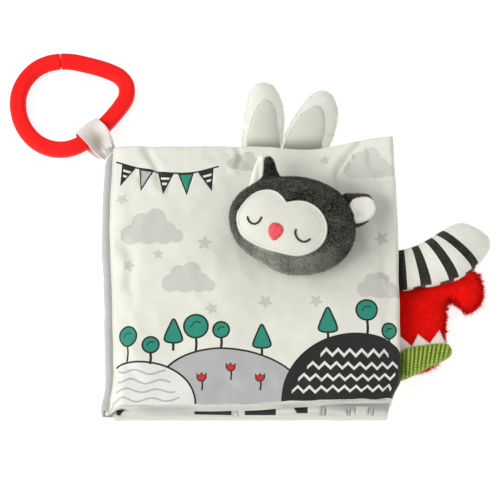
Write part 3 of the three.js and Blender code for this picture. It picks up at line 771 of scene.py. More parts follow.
def front_print():
    """A landscape of patterned hills under a row of pennants."""
    L = []
    L += cloud(-56, 26, 0.95) + cloud(-36, -2, 0.8) + cloud(64, -6, 0.72) + cloud(60, 60, 0.8) + cloud(-6, 64, 0.6)
    for x, y, r in ((-66, 6, 2.6), (-26, 18, 3.0), (-70, 44, 2.4), (67, 22, 3.0), (-22, -18, 2.6), (38, 66, 2.4), (6, -14, 3.0), (32, -14, 2.6), (-50, 12, 2.2)):
        L.append((star(x, y, r * 1.5, turn=x * 0.1), C_PALE))
    # A string of pennants, upper left.
    cord_pts = np.array([(-74, 66), (-60, 60.5), (-46, 57.4), (-32, 57.2), (-19, 60.6)], dtype=float)
    line = catmull(cord_pts, 61)
    for i, c in enumerate((C_INK, C_GREY, C_INK, C_TEAL, C_INK)):
        p, q = line[4 + i * 11], line[4 + i * 11 + 9]
        d = (q - p) / np.linalg.norm(q - p)
        tip = (p + q) / 2 + np.array([d[1], -d[0]]) * 12.5
        tri = np.array([p, tip, q])
        L.append((tri, C_INK))
        if c != C_INK:
            ctr = tri.mean(0)
            L.append((ctr + (tri - ctr) * 0.74, c))
        else:
            for k in (0.22, 0.46):
                a0, b0 = p + (tip - p) * k, q + (tip - q) * k
                a1, b1 = p + (tip - p) * (k + 0.1), q + (tip - q) * (k + 0.1)
                L.append((np.array([a0 + d * 0.9, b0 - d * 0.9, b1 - d * 0.9, a1 + d * 0.9]), C_WHITE))
    L.append((band(cord_pts, 0.9), C_INK))
    # Hills, from the far one to the near ones; the right one has zigzag rows.
    def hill(x0, x1, y, h, fill, lean=0.0):
        poly = mound(x0, x1, y, h, lean)
        L.append((poly, C_INK))
        L.append((mound(x0 + 1.0, x1 - 1.0, y, h - 1.0, lean), fill))
    hill(-52, 26, -70, 31, C_GREY, -4)
    hill(-86, -30, -70, 24, C_WHITE)
    for k in range(4):
        y = -52.0 - 5.2 * k
        pts = [(x, y + 1.1 * math.sin(x / 2.6 + k)) for x in np.linspace(-74 + (3 - k) * 0.3, -45 + 2.2 * k, 12)]
        L.append((band(pts, 1.0, 40), C_GREY))
    hill(14, 86, -70.8, 39.8, C_INK, 3)
    for k, (a, c) in enumerate(((34, 70), (27, 74), (22.5, 74), (19.5, 74))):
        L.append((zigzag(a, c, -43.5 - 7.2 * k, 6.0, 3.3, 2.0), C_WHITE))
    # Round trees and cone trees.
    def tree_round(x, y, r, stem):
        L.append((band([(x, y - r + 0.6), (x + 0.3, y - r - stem / 2), (x, y - r - stem)], 1.3, 10), C_INK))
        L.extend(outlined(circle(x, y, r, 36), C_INK, C_TEAL))
        L.append((band([(x - r * 0.45, y - r * 0.1), (x - r * 0.1, y + r * 0.35), (x + r * 0.4, y + r * 0.3)], 0.6, 12), C_INK))
    for t in ((-66, -33, 5.4, 9), (-53, -37.5, 4.2, 6), (-30, -27.5, 6.2, 7), (-17, -29.5, 4.2, 5.5), (58, -19, 5.4, 8), (70, -30, 4.2, 6)):
        tree_round(*t)
    for x, y, s in ((-41.5, -31.5, 1.0), (4, -34.5, 1.0), (38, -26.0, 1.05)):
        cone = blob([(x, y + 8 * s), (x + 2.2 * s, y + 4 * s), (x + 4.6 * s, y - 2.6 * s), (x + 3.2 * s, y - 4.4 * s), (x, y - 4.8 * s), (x - 3.2 * s, y - 4.4 * s), (x - 4.6 * s, y - 2.6 * s), (x - 2.2 * s, y + 4 * s)])
        L.append((band([(x, y - 4 * s), (x, y - 6.5 * s), (x, y - 9 * s)], 1.3, 8), C_INK))
        L.extend(outlined(cone, C_INK, C_TEAL))
    # Three small tulips on the grey hill.
    for x, y in ((-27, -56), (-12, -51), (3, -57)):
        L.append((band([(x, y), (x + 0.4, y - 3), (x, y - 6)], 0.9, 8), C_INK))
        cup = np.array([(x - 2.3, y + 3.4), (x - 1.1, y + 2.0), (x, y + 3.6), (x + 1.1, y + 2.0), (x + 2.3, y + 3.4), (x + 2.2, y + 0.6), (x + 1.2, y - 0.8), (x - 1.2, y - 0.8), (x - 2.2, y + 0.6)])[::-1]
        L.extend(outlined(cup, C_INK, C_RED, 0.7))
    # Grey lines at the lower left corner: painted shade between the turned-in layers of cloth.
    for k, w in ((0.0, 0.45), (1.3, 0.35), (2.4, 0.5)):
        L.append((band([(-70.6 - k * 0.9, -67.6 - k * 0.5), (-73.2 - k * 0.8, -69.4 - k * 0.4), (-75.0 - k * 0.45, -72.6)], w, 12), 100 + C_GREY))
    return L

def page_print(kind, b):
    """Plain shapes for the inner pages, all clear of the edge."""
    L = []
    if kind == "blocks":
        for x, w, c, lean in ((-31.1, 19.3, C_INK, 0), (-10.6, 2.4, C_PALE, 0), (-4.8, 16.1, C_INK, 0), (20.4, 7.6, C_INK, 2.0), (35.0, 2.2, C_GREY, 0), (48.6, 2.0, C_GREY, 0), (53.0, 7.0, C_PALE, 0), (61.4, 2.4, C_GREY, 0.8)):
            low = (-72.2 if lean == 2.0 else -73.0) if c == C_INK else -73.9
            L.append((np.array([(x + lean, low), (x + w, low), (x + w, -68.6), (x, -68.6)]), c))
        # A dark patch at the lower left corner: a painted shadow in the gap under the cover's rolled corner.
        L.append((np.array([(-76.4, -73.9), (-73.6, -73.9), (-70.2, -71.6), (-65.0, -66.6), (-65.0, -58), (-75.6, -58)]), C_INK))
        for i, (x, y, r) in enumerate(((-44, 30, 17), (2, 34, 12), (42, 28, 16), (-26, -14, 13), (24, -12, 18), (56, -30, 9), (-56, -34, 10))):
            L.append((circle(x, y, r, 40), (C_GREY, C_INK, C_TEAL, C_PALE, C_INK, C_RED, C_TEAL)[i]))
            L.append((circle(x, y, r * 0.62, 34), C_WHITE))
            L.append((circle(x, y, r * 0.3, 24), (C_TEAL, C_RED, C_INK, C_INK, C_GREY, C_INK, C_INK)[i]))
    elif kind == "waves":
        for k in range(6):
            y = -52 + k * 20
            pts = [(x, y + 4 * math.sin(x / 11 + k)) for x in np.linspace(-64, 62, 15)]
            L.append((band(pts, 5.5 if k % 2 else 3.0, 90), (C_GREY, C_INK, C_PALE, C_TEAL, C_PALE, C_INK)[k]))
    elif kind == "dots":
        for i in range(7):
            for j in range(6):
                x, y = -58 + i * 19, -54 + j * 21.5 + (i % 2) * 4
                L.append((circle(x, y, 4.6 if (i + j) % 2 else 3.2, 24), (C_PALE, C_INK, C_GREY, C_TEAL, C_PALE, C_RED)[(i * 2 + j) % 6]))
    elif kind == "zig":
        for k in range(5):
            L.append((zigzag(-62, 58, -52 + k * 23, 20, 8, 5.0), (C_INK, C_GREY, C_TEAL, C_PALE, C_INK)[k]))
    elif kind == "stripes":
        for k in range(7):
            x = -62 + k * 20
            L.append((np.array([(x, -60), (x + 6, -60), (x + 6, 60), (x, 60)]), (C_PALE, C_GREY)[k % 2]))
    return L

def shoelace(p):
    p = np.asarray(p, dtype=float)
    return 0.5 * np.sum(p[:, 0] * np.roll(p[:, 1], -1) - np.roll(p[:, 0], -1) * p[:, 1])

def printed(border, layers, step, clip=None, rings=()):
    """Constrained triangulation of a panel with its print: plan points, triangles, slot of each, the border's walk."""
    pts, faces = [tuple(p) for p in border], [list(range(len(border)))]
    cols = [C_BASE]
    if clip is not None:
        layers = [(clip, C_BASE)] + list(layers)
    layers = [(np.asarray(p) if shoelace(p) > 0 else np.asarray(p)[::-1], c) for p, c in layers]
    over = {k + 1 for k, (p, c) in enumerate(layers) if c >= 100}
    layers = [(p, c % 100) for p, c in layers]
    for poly, c in layers:
        faces.append(list(range(len(pts), len(pts) + len(poly))))
        pts += [tuple(p) for p in poly]
        cols.append(c)
    lo, hi = border.min(0), border.max(0)
    G = np.array([(x, y) for y in np.arange(lo[1] + step / 2, hi[1], step) for x in np.arange(lo[0] + step / 2, hi[0], step)])
    G = G[inside(G, border)]
    G = G[edge_dist(G, border) > 0.45 * step]
    G = np.concatenate([G[edge_dist(G, border) > (rings[-1] + 0.5 if len(rings) else 0)]] + [offset(border, -q) for q in rings])
    near = np.ones(len(G), dtype=bool)
    if layers:
        allp = np.array([p for poly, _ in layers for p in poly])
        from mathutils.kdtree import KDTree
        kd = KDTree(len(allp))
        for i, p in enumerate(allp):
            kd.insert((p[0], p[1], 0), i)
        kd.balance()
        near = np.array([kd.find((g[0], g[1], 0))[2] > 0.35 for g in G])
    pts += [tuple(p) for p in G[near]]
    v, e, f, ov, oe, of = delaunay_2d_cdt([Vector(p) for p in pts], [], faces, 0, 1e-4, True)
    V = np.array([list(p) for p in v])
    F, M = [], []
    for t, o in zip(f, of):
        if 0 not in o:
            continue
        c = max(o)
        if clip is not None and 1 not in o:
            c = max([k for k in o if k in over] or [0])
        for k in range(1, len(t) - 1):
            F.append((t[0], t[k], t[k + 1]))
            M.append(cols[c])
    used = sorted({i for t in F for i in t})
    remap = {o: i for i, o in enumerate(used)}
    V = V[used]
    F = [tuple(remap[i] for i in t) for t in F]
    edges = {}
    for t in F:
        for a, c in ((t[0], t[1]), (t[1], t[2]), (t[2], t[0])):
            edges[(a, c)] = edges.get((a, c), 0) + 1
    nxt = {a: c for (a, c) in edges if (c, a) not in edges}
    start = next(iter(nxt))
    walk, cur = [], start
    while True:
        walk.append(cur)
        cur = nxt[cur]
        if cur == start or len(walk) > len(V):
            break
    return V, F, M, walk

def cut_border(b, r, step=1.25, first=None):
    out = []
    rr = (first or r, r, r, r)
    corners = ((b["x1"] - rr[0], b["y1"] - rr[0], 0), (b["x0"] + r, b["y1"] - r, 90), (b["x0"] + r, b["y0"] + r, 180), (b["x1"] - r, b["y0"] + r, 270))
    for k, (x, y, a0) in enumerate(corners):
        r = rr[k]
        for i in range(7):
            a = math.radians(a0 + 15 * i)
            out.append((x + r * math.cos(a), y + r * math.sin(a)))
        nx_, ny_, na = corners[(k + 1) % 4]
        a = math.radians(na)
        r = rr[(k + 1) % 4]
        p, q = np.array(out[-1]), np.array((nx_ + r * math.cos(a), ny_ + r * math.sin(a)))
        n = int(np.linalg.norm(q - p) / step)
        out += [tuple(p + (q - p) * i / n) for i in range(1, n)]
    return np.array(out)

RIM = (0.12, 0.32, 0.6, 0.95, 1.4, 1.95, 2.6)

def edge_puckers(XY, b, seed):
    """Small gathers that run in from the sewn edges."""
    out = np.zeros(len(XY))
    sides = ((XY[:, 0] - b["x0"], 1), (b["x1"] - XY[:, 0], 1), (XY[:, 1] - b["y0"], 0), (b["y1"] - XY[:, 1], 0))
    for k, (e, axis) in enumerate(sides):
        e = np.maximum(e, 0)
        n = np.array([nz(c, 3.0 * k, 0.11, seed + k) + 0.5 * nz(c, 3.0 * k, 0.25, seed + k + 20) for c in XY[:, axis]])
        out += np.exp(-e / 8.0) * (1 - np.exp(-e / 1.4)) * n
    return out

def leaf(name, b, zc, seed, top_layers, bottom_layers, mats, deform, head=False, wrinkle=0.25, step=1.35, seam=-1.0, clip=None, radius=3.0, gather=0.3, first=None, shade=None, wall_shade=1.0):
    U, D = make_sheets(b, seed, head)
    border = cut_border(b, 3.0, first=first)
    inner = None
    if clip:
        inner = cut_border(dict(x0=b["x0"] + clip, x1=b["x1"] + 2, y0=b["y0"] + clip, y1=b["y1"] + 2), 2.0)
    Vt, Ft, Mt, walk = printed(border, top_layers, step, inner, RIM)
    rim = Vt[walk]
    Vb, Fb, Mb, walk_b = printed(rim, bottom_layers, 2.2, None, RIM[1::2])
    def panel(S, XY, sd, sign, soft):
        """The draped panel with its rounded edge down to the seam."""
        d = edge_dist(XY, border)
        P = sample_grid(S, b, XY)
        C = np.stack([np.clip(XY[:, 0], b["x0"] + 5, b["x1"] - 5), np.clip(XY[:, 1], b["y0"] + 5, b["y1"] - 5)], axis=1)
        h = sample_grid(S, b, C)[:, 2] * sign
        h = np.clip(h - np.median(h), -1.3, 1.3) * soft
        k = np.minimum(d / 7.0, 1)
        w = np.array([nz(x, y, 0.032, sd) * 1.1 + abs(nz(x, y, 0.065, sd + 3)) * -0.9 + nz(x, y, 0.16, sd + 5) * 0.2 for x, y in XY]) + 0.25
        top = LEAF_H - 0.1 + h + w * k * wrinkle + gather * edge_puckers(XY, b, sd)
        top = top - 0.5 * np.exp(-((d - 1.15) / 0.4) ** 2) * (0.7 + np.array([nz(x, y, 0.05, sd + 2) for x, y in XY]))
        wave = seam + 0.35 * np.array([nz(x, y, 0.07, seed + 11) for x, y in XY])
        q = np.sqrt(1 - (1 - np.clip(d / radius, 0, 1)) ** 2)
        base = wave if sign > 0 else -wave
        P[:, 2] = sign * (base + (top - base) * q)
        return P
    T = panel(U, Vt, seed, 1, 0.5)
    B = panel(D, Vb, seed + 9, -1, 0.15)
    # The two panels share their sewn edge.
    same = {}
    Wb, Wt = Vb[walk_b], Vt[walk]
    for i in walk:
        d2 = ((Wb - Vt[i]) ** 2).sum(1)
        if d2.min() < 0.01:
            m = (T[i] + B[walk_b[int(d2.argmin())]]) / 2
            T[i] = m
    for j in walk_b:
        d2 = ((Wt - Vb[j]) ** 2).sum(1)
        if d2.min() < 0.01:
            same[j] = walk[int(d2.argmin())]
    V = np.concatenate([T, B])
    n = len(T)
    idx = {j: same.get(j, n + j) for j in range(len(B))}
    F = list(Ft) + [(idx[a], idx[c], idx[d]) for a, d, c in Fb]
    M = list(Mt) + list(Mb)
    used = sorted({i for t in F for i in t})
    remap = {o: i for i, o in enumerate(used)}
    V = V[used]
    F = [tuple(remap[i] for i in t) for t in F]
    # Painted shade: the wall along the lower edge is darkened, with a weaker band just inside it; a per-leaf factor
    # scales it.
    low_edge = V[:, 1] - b["y0"]
    painted_light = 0.68 * (1 - smoothstep((low_edge - 0.9) / 2.1)) + 0.12 * (1 - smoothstep((low_edge - 3.0) / 3.0))
    painted_light = wall_shade * painted_light * (0.8 + 0.5 * np.array([nz(p[0], p[2], 0.06, seed + 4) for p in V]))
    # A shade function adds a painted shadow where another part would shade the leaf.
    if shade is not None:
        painted_light = np.maximum(painted_light, shade(V[:, 0], V[:, 1]))
    V = deform(V)
    V[:, 2] += zc
    ob = build(name, V, F, mats, M, attrs={"painted_light": np.clip(painted_light, 0, 1)})
    # Batting and crinkle film inside, shaped like the leaf.
    s = slice(3, -3, 3)
    gu, gd = U[s, s].copy(), D[s, s].copy()
    ny, nx = gu.shape[:2]
    ex = np.minimum(np.arange(nx), np.arange(nx)[::-1])[None, :]
    ey = np.minimum(np.arange(ny), np.arange(ny)[::-1])[:, None]
    edge = np.minimum(ex, ey) + np.zeros((ny, nx))
    full = 1 - np.exp(-(edge + 0.6) / 0.9)
    def slab(nm, top, bot, mat):
        A = top.reshape(-1, 3)
        C = bot.reshape(-1, 3)
        Fq = []
        for j in range(ny - 1):
            for i in range(nx - 1):
                a = j * nx + i
                Fq.append((a, a + 1, a + nx + 1, a + nx))
                Fq.append((a + ny * nx, a + ny * nx + nx, a + ny * nx + nx + 1, a + ny * nx + 1))
        ringi = [i for i in range(nx)] + [j * nx + nx - 1 for j in range(1, ny)] + [(ny - 1) * nx + i for i in range(nx - 2, -1, -1)] + [j * nx for j in range(ny - 2, 0, -1)]
        m = ny * nx
        for a, c in zip(ringi, ringi[1:] + ringi[:1]):
            Fq.append((c, a, a + m, c + m))
        W = deform(np.concatenate([A, C]))
        W[:, 2] += zc
        return build(nm, W, Fq, [mat])
    tf = gu.copy(); tf[..., 2] = -0.4 + 2.1 * full
    bf = tf.copy(); bf[..., 2] -= 0.12
    film = slab(name + "_film", tf, bf, m_film)
    tb = gu.copy(); tb[..., 2] = -0.6 + 1.9 * full
    bb = gd.copy(); bb[..., 2] = -0.8 - 1.7 * full
    wad = slab(name + "_batting", tb, bb, m_wad)
    return ob, film, wad

def smoothstep(t):
    t = np.clip(t, 0, 1)
    return t * t * (3 - 2 * t)

LEFT_Y = (-76, -70, -64, -58, -53, -47, -36, -30, -19, -8, 3, 9, 15, 31, 43, 54, 60, 76)
LEFT_X = (0.7, 1.0, 2.0, 2.5, 2.7, 2.3, 2.0, 1.7, 1.5, 1.0, 0.5, 0.0, -0.5, -0.9, -0.9, -0.4, 0.0, 0.0)

def left_line(y):
    """How far the book's left side stands in from a straight line."""
    return np.interp(y, LEFT_Y, LEFT_X)

def crease(V, points, depth, width, ridge, away):
    """A soft fold along a plan path, with a ridge beside it, on the upper panel."""
    C = catmull(points, 60)
    d = edge_dist(V[:, :2], C, closed=False)
    t = np.array(points[-1], dtype=float) - np.array(points[0])
    side = np.sign((V[:, 0] - points[0][0]) * t[1] - (V[:, 1] - points[0][1]) * t[0])
    up = smoothstep((V[:, 2] - 0.5) / 2.5)
    V[:, 2] += up * (-depth * np.exp(-(d / width) ** 2) + ridge * np.exp(-((d - away) / (width * 1.5)) ** 2) * (side > 0))

def front_shape(V):
    V = V.copy()
    x, y = V[:, 0].copy(), V[:, 1].copy()
    V[:, 0] += left_line(y) * (1 - smoothstep((x + 76.8) / 16))
    low = 1 - smoothstep((V[:, 2] + 2.4) / 4.0)
    # The upper right corner stands up; the edge sags a little before it.
    crease(V, [(58, 74), (50, 66), (44.5, 58), (43.5, 49)], 2.0, 1.6, 1.3, 3.4)
    crease(V, [(66, 54), (72, 55.5), (78, 55)], 1.1, 1.1, 0.7, 2.4)
    crease(V, [(66, 20), (70, 12), (69, 2)], 1.2, 2.6, 0.9, 5.0)
    crease(V, [(-9, 74), (-7, 68), (-9, 62)], 0.9, 1.5, 0.7, 3.0)
    crease(V, [(60, 74), (63, 68), (63, 60)], 0.6, 2.0, 0.4, 3.0)
    crease(V, [(-70, 20), (-64, 8), (-66, -6)], 0.9, 3.0, 0.5, 5.0)
    crease(V, [(-58, 72), (-52, 62), (-50, 52)], 1.0, 2.2, 0.8, 4.0)
    V[:, 2] -= 2.2 * np.exp(-(((x - 53) / 7) ** 2 + ((y - 46) / 6) ** 2)) * smoothstep(V[:, 2] / 3)
    # The padding is thin beside the right edge, so the seam there stands up as a strip.
    V[:, 2] -= 1.3 * np.exp(-((x - 66) / 6) ** 2 - ((y - 30) / 24) ** 2) * smoothstep(V[:, 2] / 3)
    V[:, 2] -= 2.2 * (1 - smoothstep((x + 76.8) / 10)) ** 1.5 * smoothstep(V[:, 2] / 3)
    c = smoothstep((x - 28) / 56) * smoothstep((y - 22) / 60)
    V[:, 2] += 18 * c ** 1.1
    V[:, 0] -= 3.0 * c ** 1.4
    V[:, 1] -= 0.6 * c ** 1.4
    V[:, 1] -= 2.0 * np.exp(-((x - 28) / 16) ** 2) * smoothstep((y - 56) / 20)
    # The lower edge is drawn up to the right.
    s = 1 - np.exp(-np.maximum(x + 6, 0) / 35)
    V[:, 1] += (3.3 * s + 2.1 * low * smoothstep((x - 14) / 52)) * smoothstep((-y - 44) / 28)
    # The lower right corner is turned in by its seam.
    k = smoothstep((x - 63) / 14) * smoothstep((-y - 57) / 15)
    V[:, 0] -= 4.6 * k
    V[:, 1] += 0.8 * k
    V[:, 2] -= 1.4 * k
    # The lower left corner rolls down over the spine, and the seam beside it gapes.
    r = smoothstep((-x - 69.6) / 7.4) * smoothstep((-y - 61) / 11)
    V[:, 2] -= 13.0 * r
    V[:, 0] -= 3.2 * r
    V[:, 1] -= 1.4 * r
    g = np.exp(-((x + 71.6) / 4.8) ** 2) * smoothstep((-y - 56) / 11)
    V[:, 2] += 4.8 * g * low
    V[:, 1] += 1.0 * g * low
    return V

def middle_shape(V):
    V = V.copy()
    x, y = V[:, 0].copy(), V[:, 1].copy()
    V[:, 1] -= 0.7 * np.exp(-((x - 3) / 34) ** 2) * smoothstep((-y - 62) / 10)
    k = smoothstep((x - 56) / 20) * smoothstep((-y - 58) / 14)
    V[:, 0] -= 4.4 * k
    V[:, 2] -= 0.4 * k
    V[:, 0] += left_line(y) * (1 - smoothstep((x + 76.8) / 16))
    g = smoothstep((-x - 60) / 12) * smoothstep((-y - 58) / 10)
    V[:, 2] -= 4.6 * g * smoothstep((V[:, 2] + 3) / 5)
    e = smoothstep((-x - 68) / 8) * smoothstep((-y - 62) / 10)
    V[:, 0] += 2.0 * e
    return V

def back_shape(V):
    V = V.copy()
    x, y = V[:, 0].copy(), V[:, 1].copy()
    k = smoothstep((x - 56) / 20) * smoothstep((-y - 58) / 14)
    V[:, 0] -= 3.6 * k
    V[:, 0] += left_line(y) * (1 - smoothstep((x + 76.8) / 16))
    return V

Z = [LEAF_H + PITCH * k for k in range(3)]
# The front cover's shade is a painted shadow beside the head's right ear and toward the upper right corner.
front, front_film, front_wad = leaf("front_cover", FRONT, Z[2], 1.0, front_print(), page_print("dots", FRONT), COVER_MATS, front_shape, head=True, wrinkle=1.0, seam=-2.0, clip=2.7, gather=0.9, first=1.4, wall_shade=1.15, shade=lambda x, y: 0.14 * np.exp(-((x - 62) / 20) ** 2 - ((y - 52) / 18) ** 2) + 0.09 * np.exp(-((x - 76) / 24) ** 2 - ((y - 74) / 18) ** 2))
# The middle leaf's shade is a painted shadow under the front cover's lower edge, on its right half.
middle, middle_film, middle_wad = leaf("middle_leaf", MIDDLE, Z[1], 2.0, page_print("blocks", MIDDLE), page_print("waves", MIDDLE), COVER_MATS, middle_shape, seam=-1.0, wrinkle=0.15, wall_shade=0.7, shade=lambda x, y: 1.0 * smoothstep((x - 24) / 30) * (1 - smoothstep((-y - 70.1) / 3.6)) * smoothstep((-y - 65) / 3))
back, back_film, back_wad = leaf("back_cover", BACK, Z[0], 3.0, page_print("zig", BACK), page_print("stripes", BACK), COVER_MATS, back_shape, seam=-1.5, wrinkle=0.15, wall_shade=0.3)

def flatten_below(ob, z):
    V = arrays(ob)
    V[:, 2] = np.maximum(V[:, 2], z)
    set_points(ob, V)

flatten_below(back, 0.0)
for ob, film, wad, body, up, lo in ((front, front_film, front_wad, "front_cover", "outer_panel", "inner_panel"),
                                    (middle, middle_film, middle_wad, "middle_leaf", "front_panel", "back_panel"),
                                    (back, back_film, back_wad, "back_cover", "inner_panel", "outer_panel")):
    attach(ob, body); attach(film, body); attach(wad, body)
    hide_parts(f"{body}_{up}", f"{body}_{lo}")
    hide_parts(f"{body}_crinkle_film")
    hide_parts(f"{body}_batting")

# ------------------------------------------------------- general soft forms
def pillow(name, outline, top, bot, step, mats, mi=None, attrs=None, extra=()):
    """A closed soft form over an outline: top and bot give z from (x, y, distance to the edge)."""
    outline = np.asarray(outline, dtype=float)
    if shoelace(outline) < 0:
        outline = outline[::-1]
    P, F, border = fill_outline(outline, step, extra)
    d = edge_dist(P, outline)
    d[border] = 0
    zt, zb = top(P[:, 0], P[:, 1], d), bot(P[:, 0], P[:, 1], d)
    rim = set(border)
    for i in border:
        zt[i] = (zt[i] + zb[i]) / 2
    n = len(P)
    V = [(*p, z) for p, z in zip(P, zt)]
    idx, D2 = {}, list(d)
    for i in range(n):
        if i in rim:
            idx[i] = i
        else:
            idx[i] = len(V)
            V.append((*P[i], zb[i]))
            D2.append(d[i])
    V = np.array(V)
    faces = list(F) + [(idx[a], idx[c], idx[b]) for a, b, c in F]
    C = np.array([V[list(f)].mean(0) for f in faces])
    side = np.array([1] * len(F) + [0] * len(F))
    m = mi(C, edge_dist(C[:, :2], outline), side) if mi is not None else None
    at = {k: fn(V, np.array(D2)) for k, fn in (attrs or {}).items()}
    return build(name, V, faces, mats, m, True, at)

def loft(name, rings, mats, mi=None, pole0=None, pole1=None, attrs=None):
    """Closed tube through rings of equal count; a pole closes each end."""
    nu, nv = len(rings), len(rings[0])
    V = np.concatenate(rings)
    F = grid_faces(nu, nv)
    M = [mi(i, j) for i in range(nu - 1) for j in range(nv)] if mi else [0] * len(F)
    for end, p in ((0, pole0), (1, pole1)):
        base = 0 if end == 0 else (nu - 1) * nv
        c = V[base:base + nv].mean(0) if p is None else np.asarray(p, dtype=float)
        V = np.concatenate([V, [c]])
        k = len(V) - 1
        for j in range(nv):
            a, b = base + j, base + (j + 1) % nv
            F.append((b, a, k) if end == 0 else (a, b, k))
            M.append(mi(0 if end == 0 else nu - 2, j) if mi else 0)
    ob = build(name, V, F, mats, M, True, attrs)
    face_out(ob)
    return ob

def face_out(ob):
    """Turns the faces outward if the closed mesh is inside out."""
    me = ob.data
    me.calc_loop_triangles()
    T = np.empty(len(me.loop_triangles) * 3, dtype=np.int64)
    me.loop_triangles.foreach_get("vertices", T)
    T = T.reshape(-1, 3)
    V = arrays(ob)
    vol = np.einsum("ij,ij->i", V[T[:, 0]], np.cross(V[T[:, 1]], V[T[:, 2]])).sum()
    if vol < 0:
        me.flip_normals()
        me.update()

def resample(S, per):
    """Catmull-Rom through rows of station values, per steps to each span."""
    S = np.asarray(S, dtype=float)
    k = len(S)
    out = []
    for s in range(k - 1):
        p = [S[min(max(i, 0), k - 1)] for i in (s - 1, s, s + 1, s + 2)]
        for t in np.linspace(0, 1, per, endpoint=False):
            out.append(0.5 * (2 * p[1] + (p[2] - p[0]) * t + (2 * p[0] - 5 * p[1] + 4 * p[2] - p[3]) * t ** 2
                              + (-p[0] + 3 * p[1] - 3 * p[2] + p[3]) * t ** 3))
    out.append(S[-1])
    return np.array(out)

def tube(name, path, radius, mats, sides=8, twist=None):
    """A round thread along a path; radius is a number."""
    P = np.asarray(path, dtype=float)
    n = len(P)
    t = np.gradient(P, axis=0)
    t /= np.linalg.norm(t, axis=1)[:, None]
    up = np.array([0, 0, 1.0])
    s = np.cross(t, up)
    s /= np.linalg.norm(s, axis=1)[:, None] + 1e-12
    u = np.cross(s, t)
    L = np.concatenate([[0], np.cumsum(np.linalg.norm(np.diff(P, axis=0), axis=1))])
    rings = []
    for i in range(n):
        end = min(L[i], L[-1] - L[i])
        a = np.linspace(0, 2 * math.pi, sides, endpoint=False)
        r = radius * math.sqrt(min(1, max(end, 0.02) / radius * 0.9)) * np.ones(sides)
        if twist:
            r *= 1 + 0.2 * np.sin(a * 2 + L[i] * 2 * math.pi / twist)
        rings.append(P[i] + np.outer(np.cos(a) * r, s[i]) + np.outer(np.sin(a) * r, u[i]))
    return loft(name, rings, mats)

def window(x, a, b, soft):
    return smoothstep((x - a) / soft + 0.5) * smoothstep((b - x) / soft + 0.5)

# -------------------------------------------------------------------- spine
def spine_cloth(name, profile, y0, y1, crease, seed, drop):
    """A cloth band along the spine; profile is its outer face, (x, z) from the bottom up."""
    C = catmull(profile, 46)
    t = np.gradient(C, axis=0)
    t /= np.linalg.norm(t, axis=1)[:, None]
    nrm = np.stack([-t[:, 1], t[:, 0]], axis=1)
    if nrm[len(nrm) // 2, 0] > 0:
        nrm = -nrm
    Y = np.linspace(y0, y1, 320)
    sheets = []
    for layer in (0.0, -0.55):
        G = np.zeros((len(Y), len(C), 3))
        for j, y in enumerate(Y):
            e = min(y - y0, y1 - y)
            for i, (x, z) in enumerate(C):
                s = i / (len(C) - 1)
                mid = math.sin(math.pi * s)
                w = 0.38 * nz(y, z, 0.06, seed) + 0.22 * abs(nz(y, z * 1.5, 0.16, seed + 2)) + 0.12 * nz(y, z, 0.4, seed + 4)
                f = crease(y, x) if layer == 0 else 0.5 * crease(y, x)
                z = z * (1 - drop * float(smoothstep((-y - 60) / 12)))
                o = layer + mid * w - f
                q = float(left_line(y)) + (-1.2 * float(smoothstep((-y - 60) / 9)) * mid if x < -76 else 0.0)
                G[j, i] = (x + q + nrm[i, 0] * o + 0.9 * math.exp(-max(e, 0) / 1.6) * mid, y, z + nrm[i, 1] * o)
        sheets.append(G)
    ny, nx = sheets[0].shape[:2]
    V = np.concatenate([s.reshape(-1, 3) for s in sheets])
    n = ny * nx
    F = []
    for j in range(ny - 1):
        for i in range(nx - 1):
            a = j * nx + i
            F.append((a, a + 1, a + nx + 1, a + nx))
            F.append((n + a, n + a + nx, n + a + nx + 1, n + a + 1))
    rim = list(range(nx)) + [j * nx + nx - 1 for j in range(1, ny)] + [(ny - 1) * nx + i for i in range(nx - 2, -1, -1)] + [j * nx for j in range(ny - 2, 0, -1)]
    for a, b in zip(rim, rim[1:] + rim[:1]):
        F.append((b, a, n + a, n + b))
    # The slanting fold gets a painted highlight: a lighter line along it.
    q = (V[:, 1] - 68.7) - 1.06 * (V[:, 0] + 78)
    ob = build(name, V, F, [m_spine], attrs={"painted_light": np.exp(-(np.abs(q - 1.0) / 0.62) ** 3)})
    face_out(ob)
    L = np.linalg.norm(np.diff(C, axis=0), axis=1).sum()
    return ob, L, y1 - y0

def fold_top(y, x):
    # A slanting fold near the top of the spine.
    q = (y - 68.7) - 1.06 * (x + 78)
    return 0.9 * math.exp(-(q / 0.8) ** 2) - 0.5 * math.exp(-((q - 1.5) / 0.9) ** 2)

spine_low, L_low, W_low = spine_cloth("spine_lower_cloth", [(-75.4, 0.5), (-77.6, 0.7), (-79.7, 2.0), (-80.6, 4.2), (-80.3, 7.0), (-79.6, 8.1), (-80.3, 9.4), (-80.5, 11.2), (-79.9, 12.2), (-77.6, 12.3), (-75.6, 12.1)], -70.8, 73.6, fold_top, 3.0, 0.42)
spine_up, L_up, W_up = spine_cloth("spine_upper_cloth", [(-75.6, 12.0), (-77.6, 11.9), (-80.0, 12.1), (-80.6, 13.4), (-80.2, 15.0), (-79.7, 16.0), (-80.2, 17.2), (-80.0, 18.6), (-79.2, 19.9), (-77.6, 20.4), (-75.9, 19.7)], -70.6, 75.0, fold_top, 5.0, 0.42)
for ob, a, b, z, L, W, nodes in ((spine_low, "back_cover", "middle_leaf", 8.0, L_low, W_low, ("spine_back_strip", "spine_middle_strip")),
                                 (spine_up, "middle_leaf", "front_cover", 16.0, L_up, W_up, ("spine_front_strip",))):
    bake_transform(ob, a, b, start=(-0.0802, 0, (z - 2) * MM), end=(-0.0802, 0, (z + 2) * MM))
    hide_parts(*nodes)

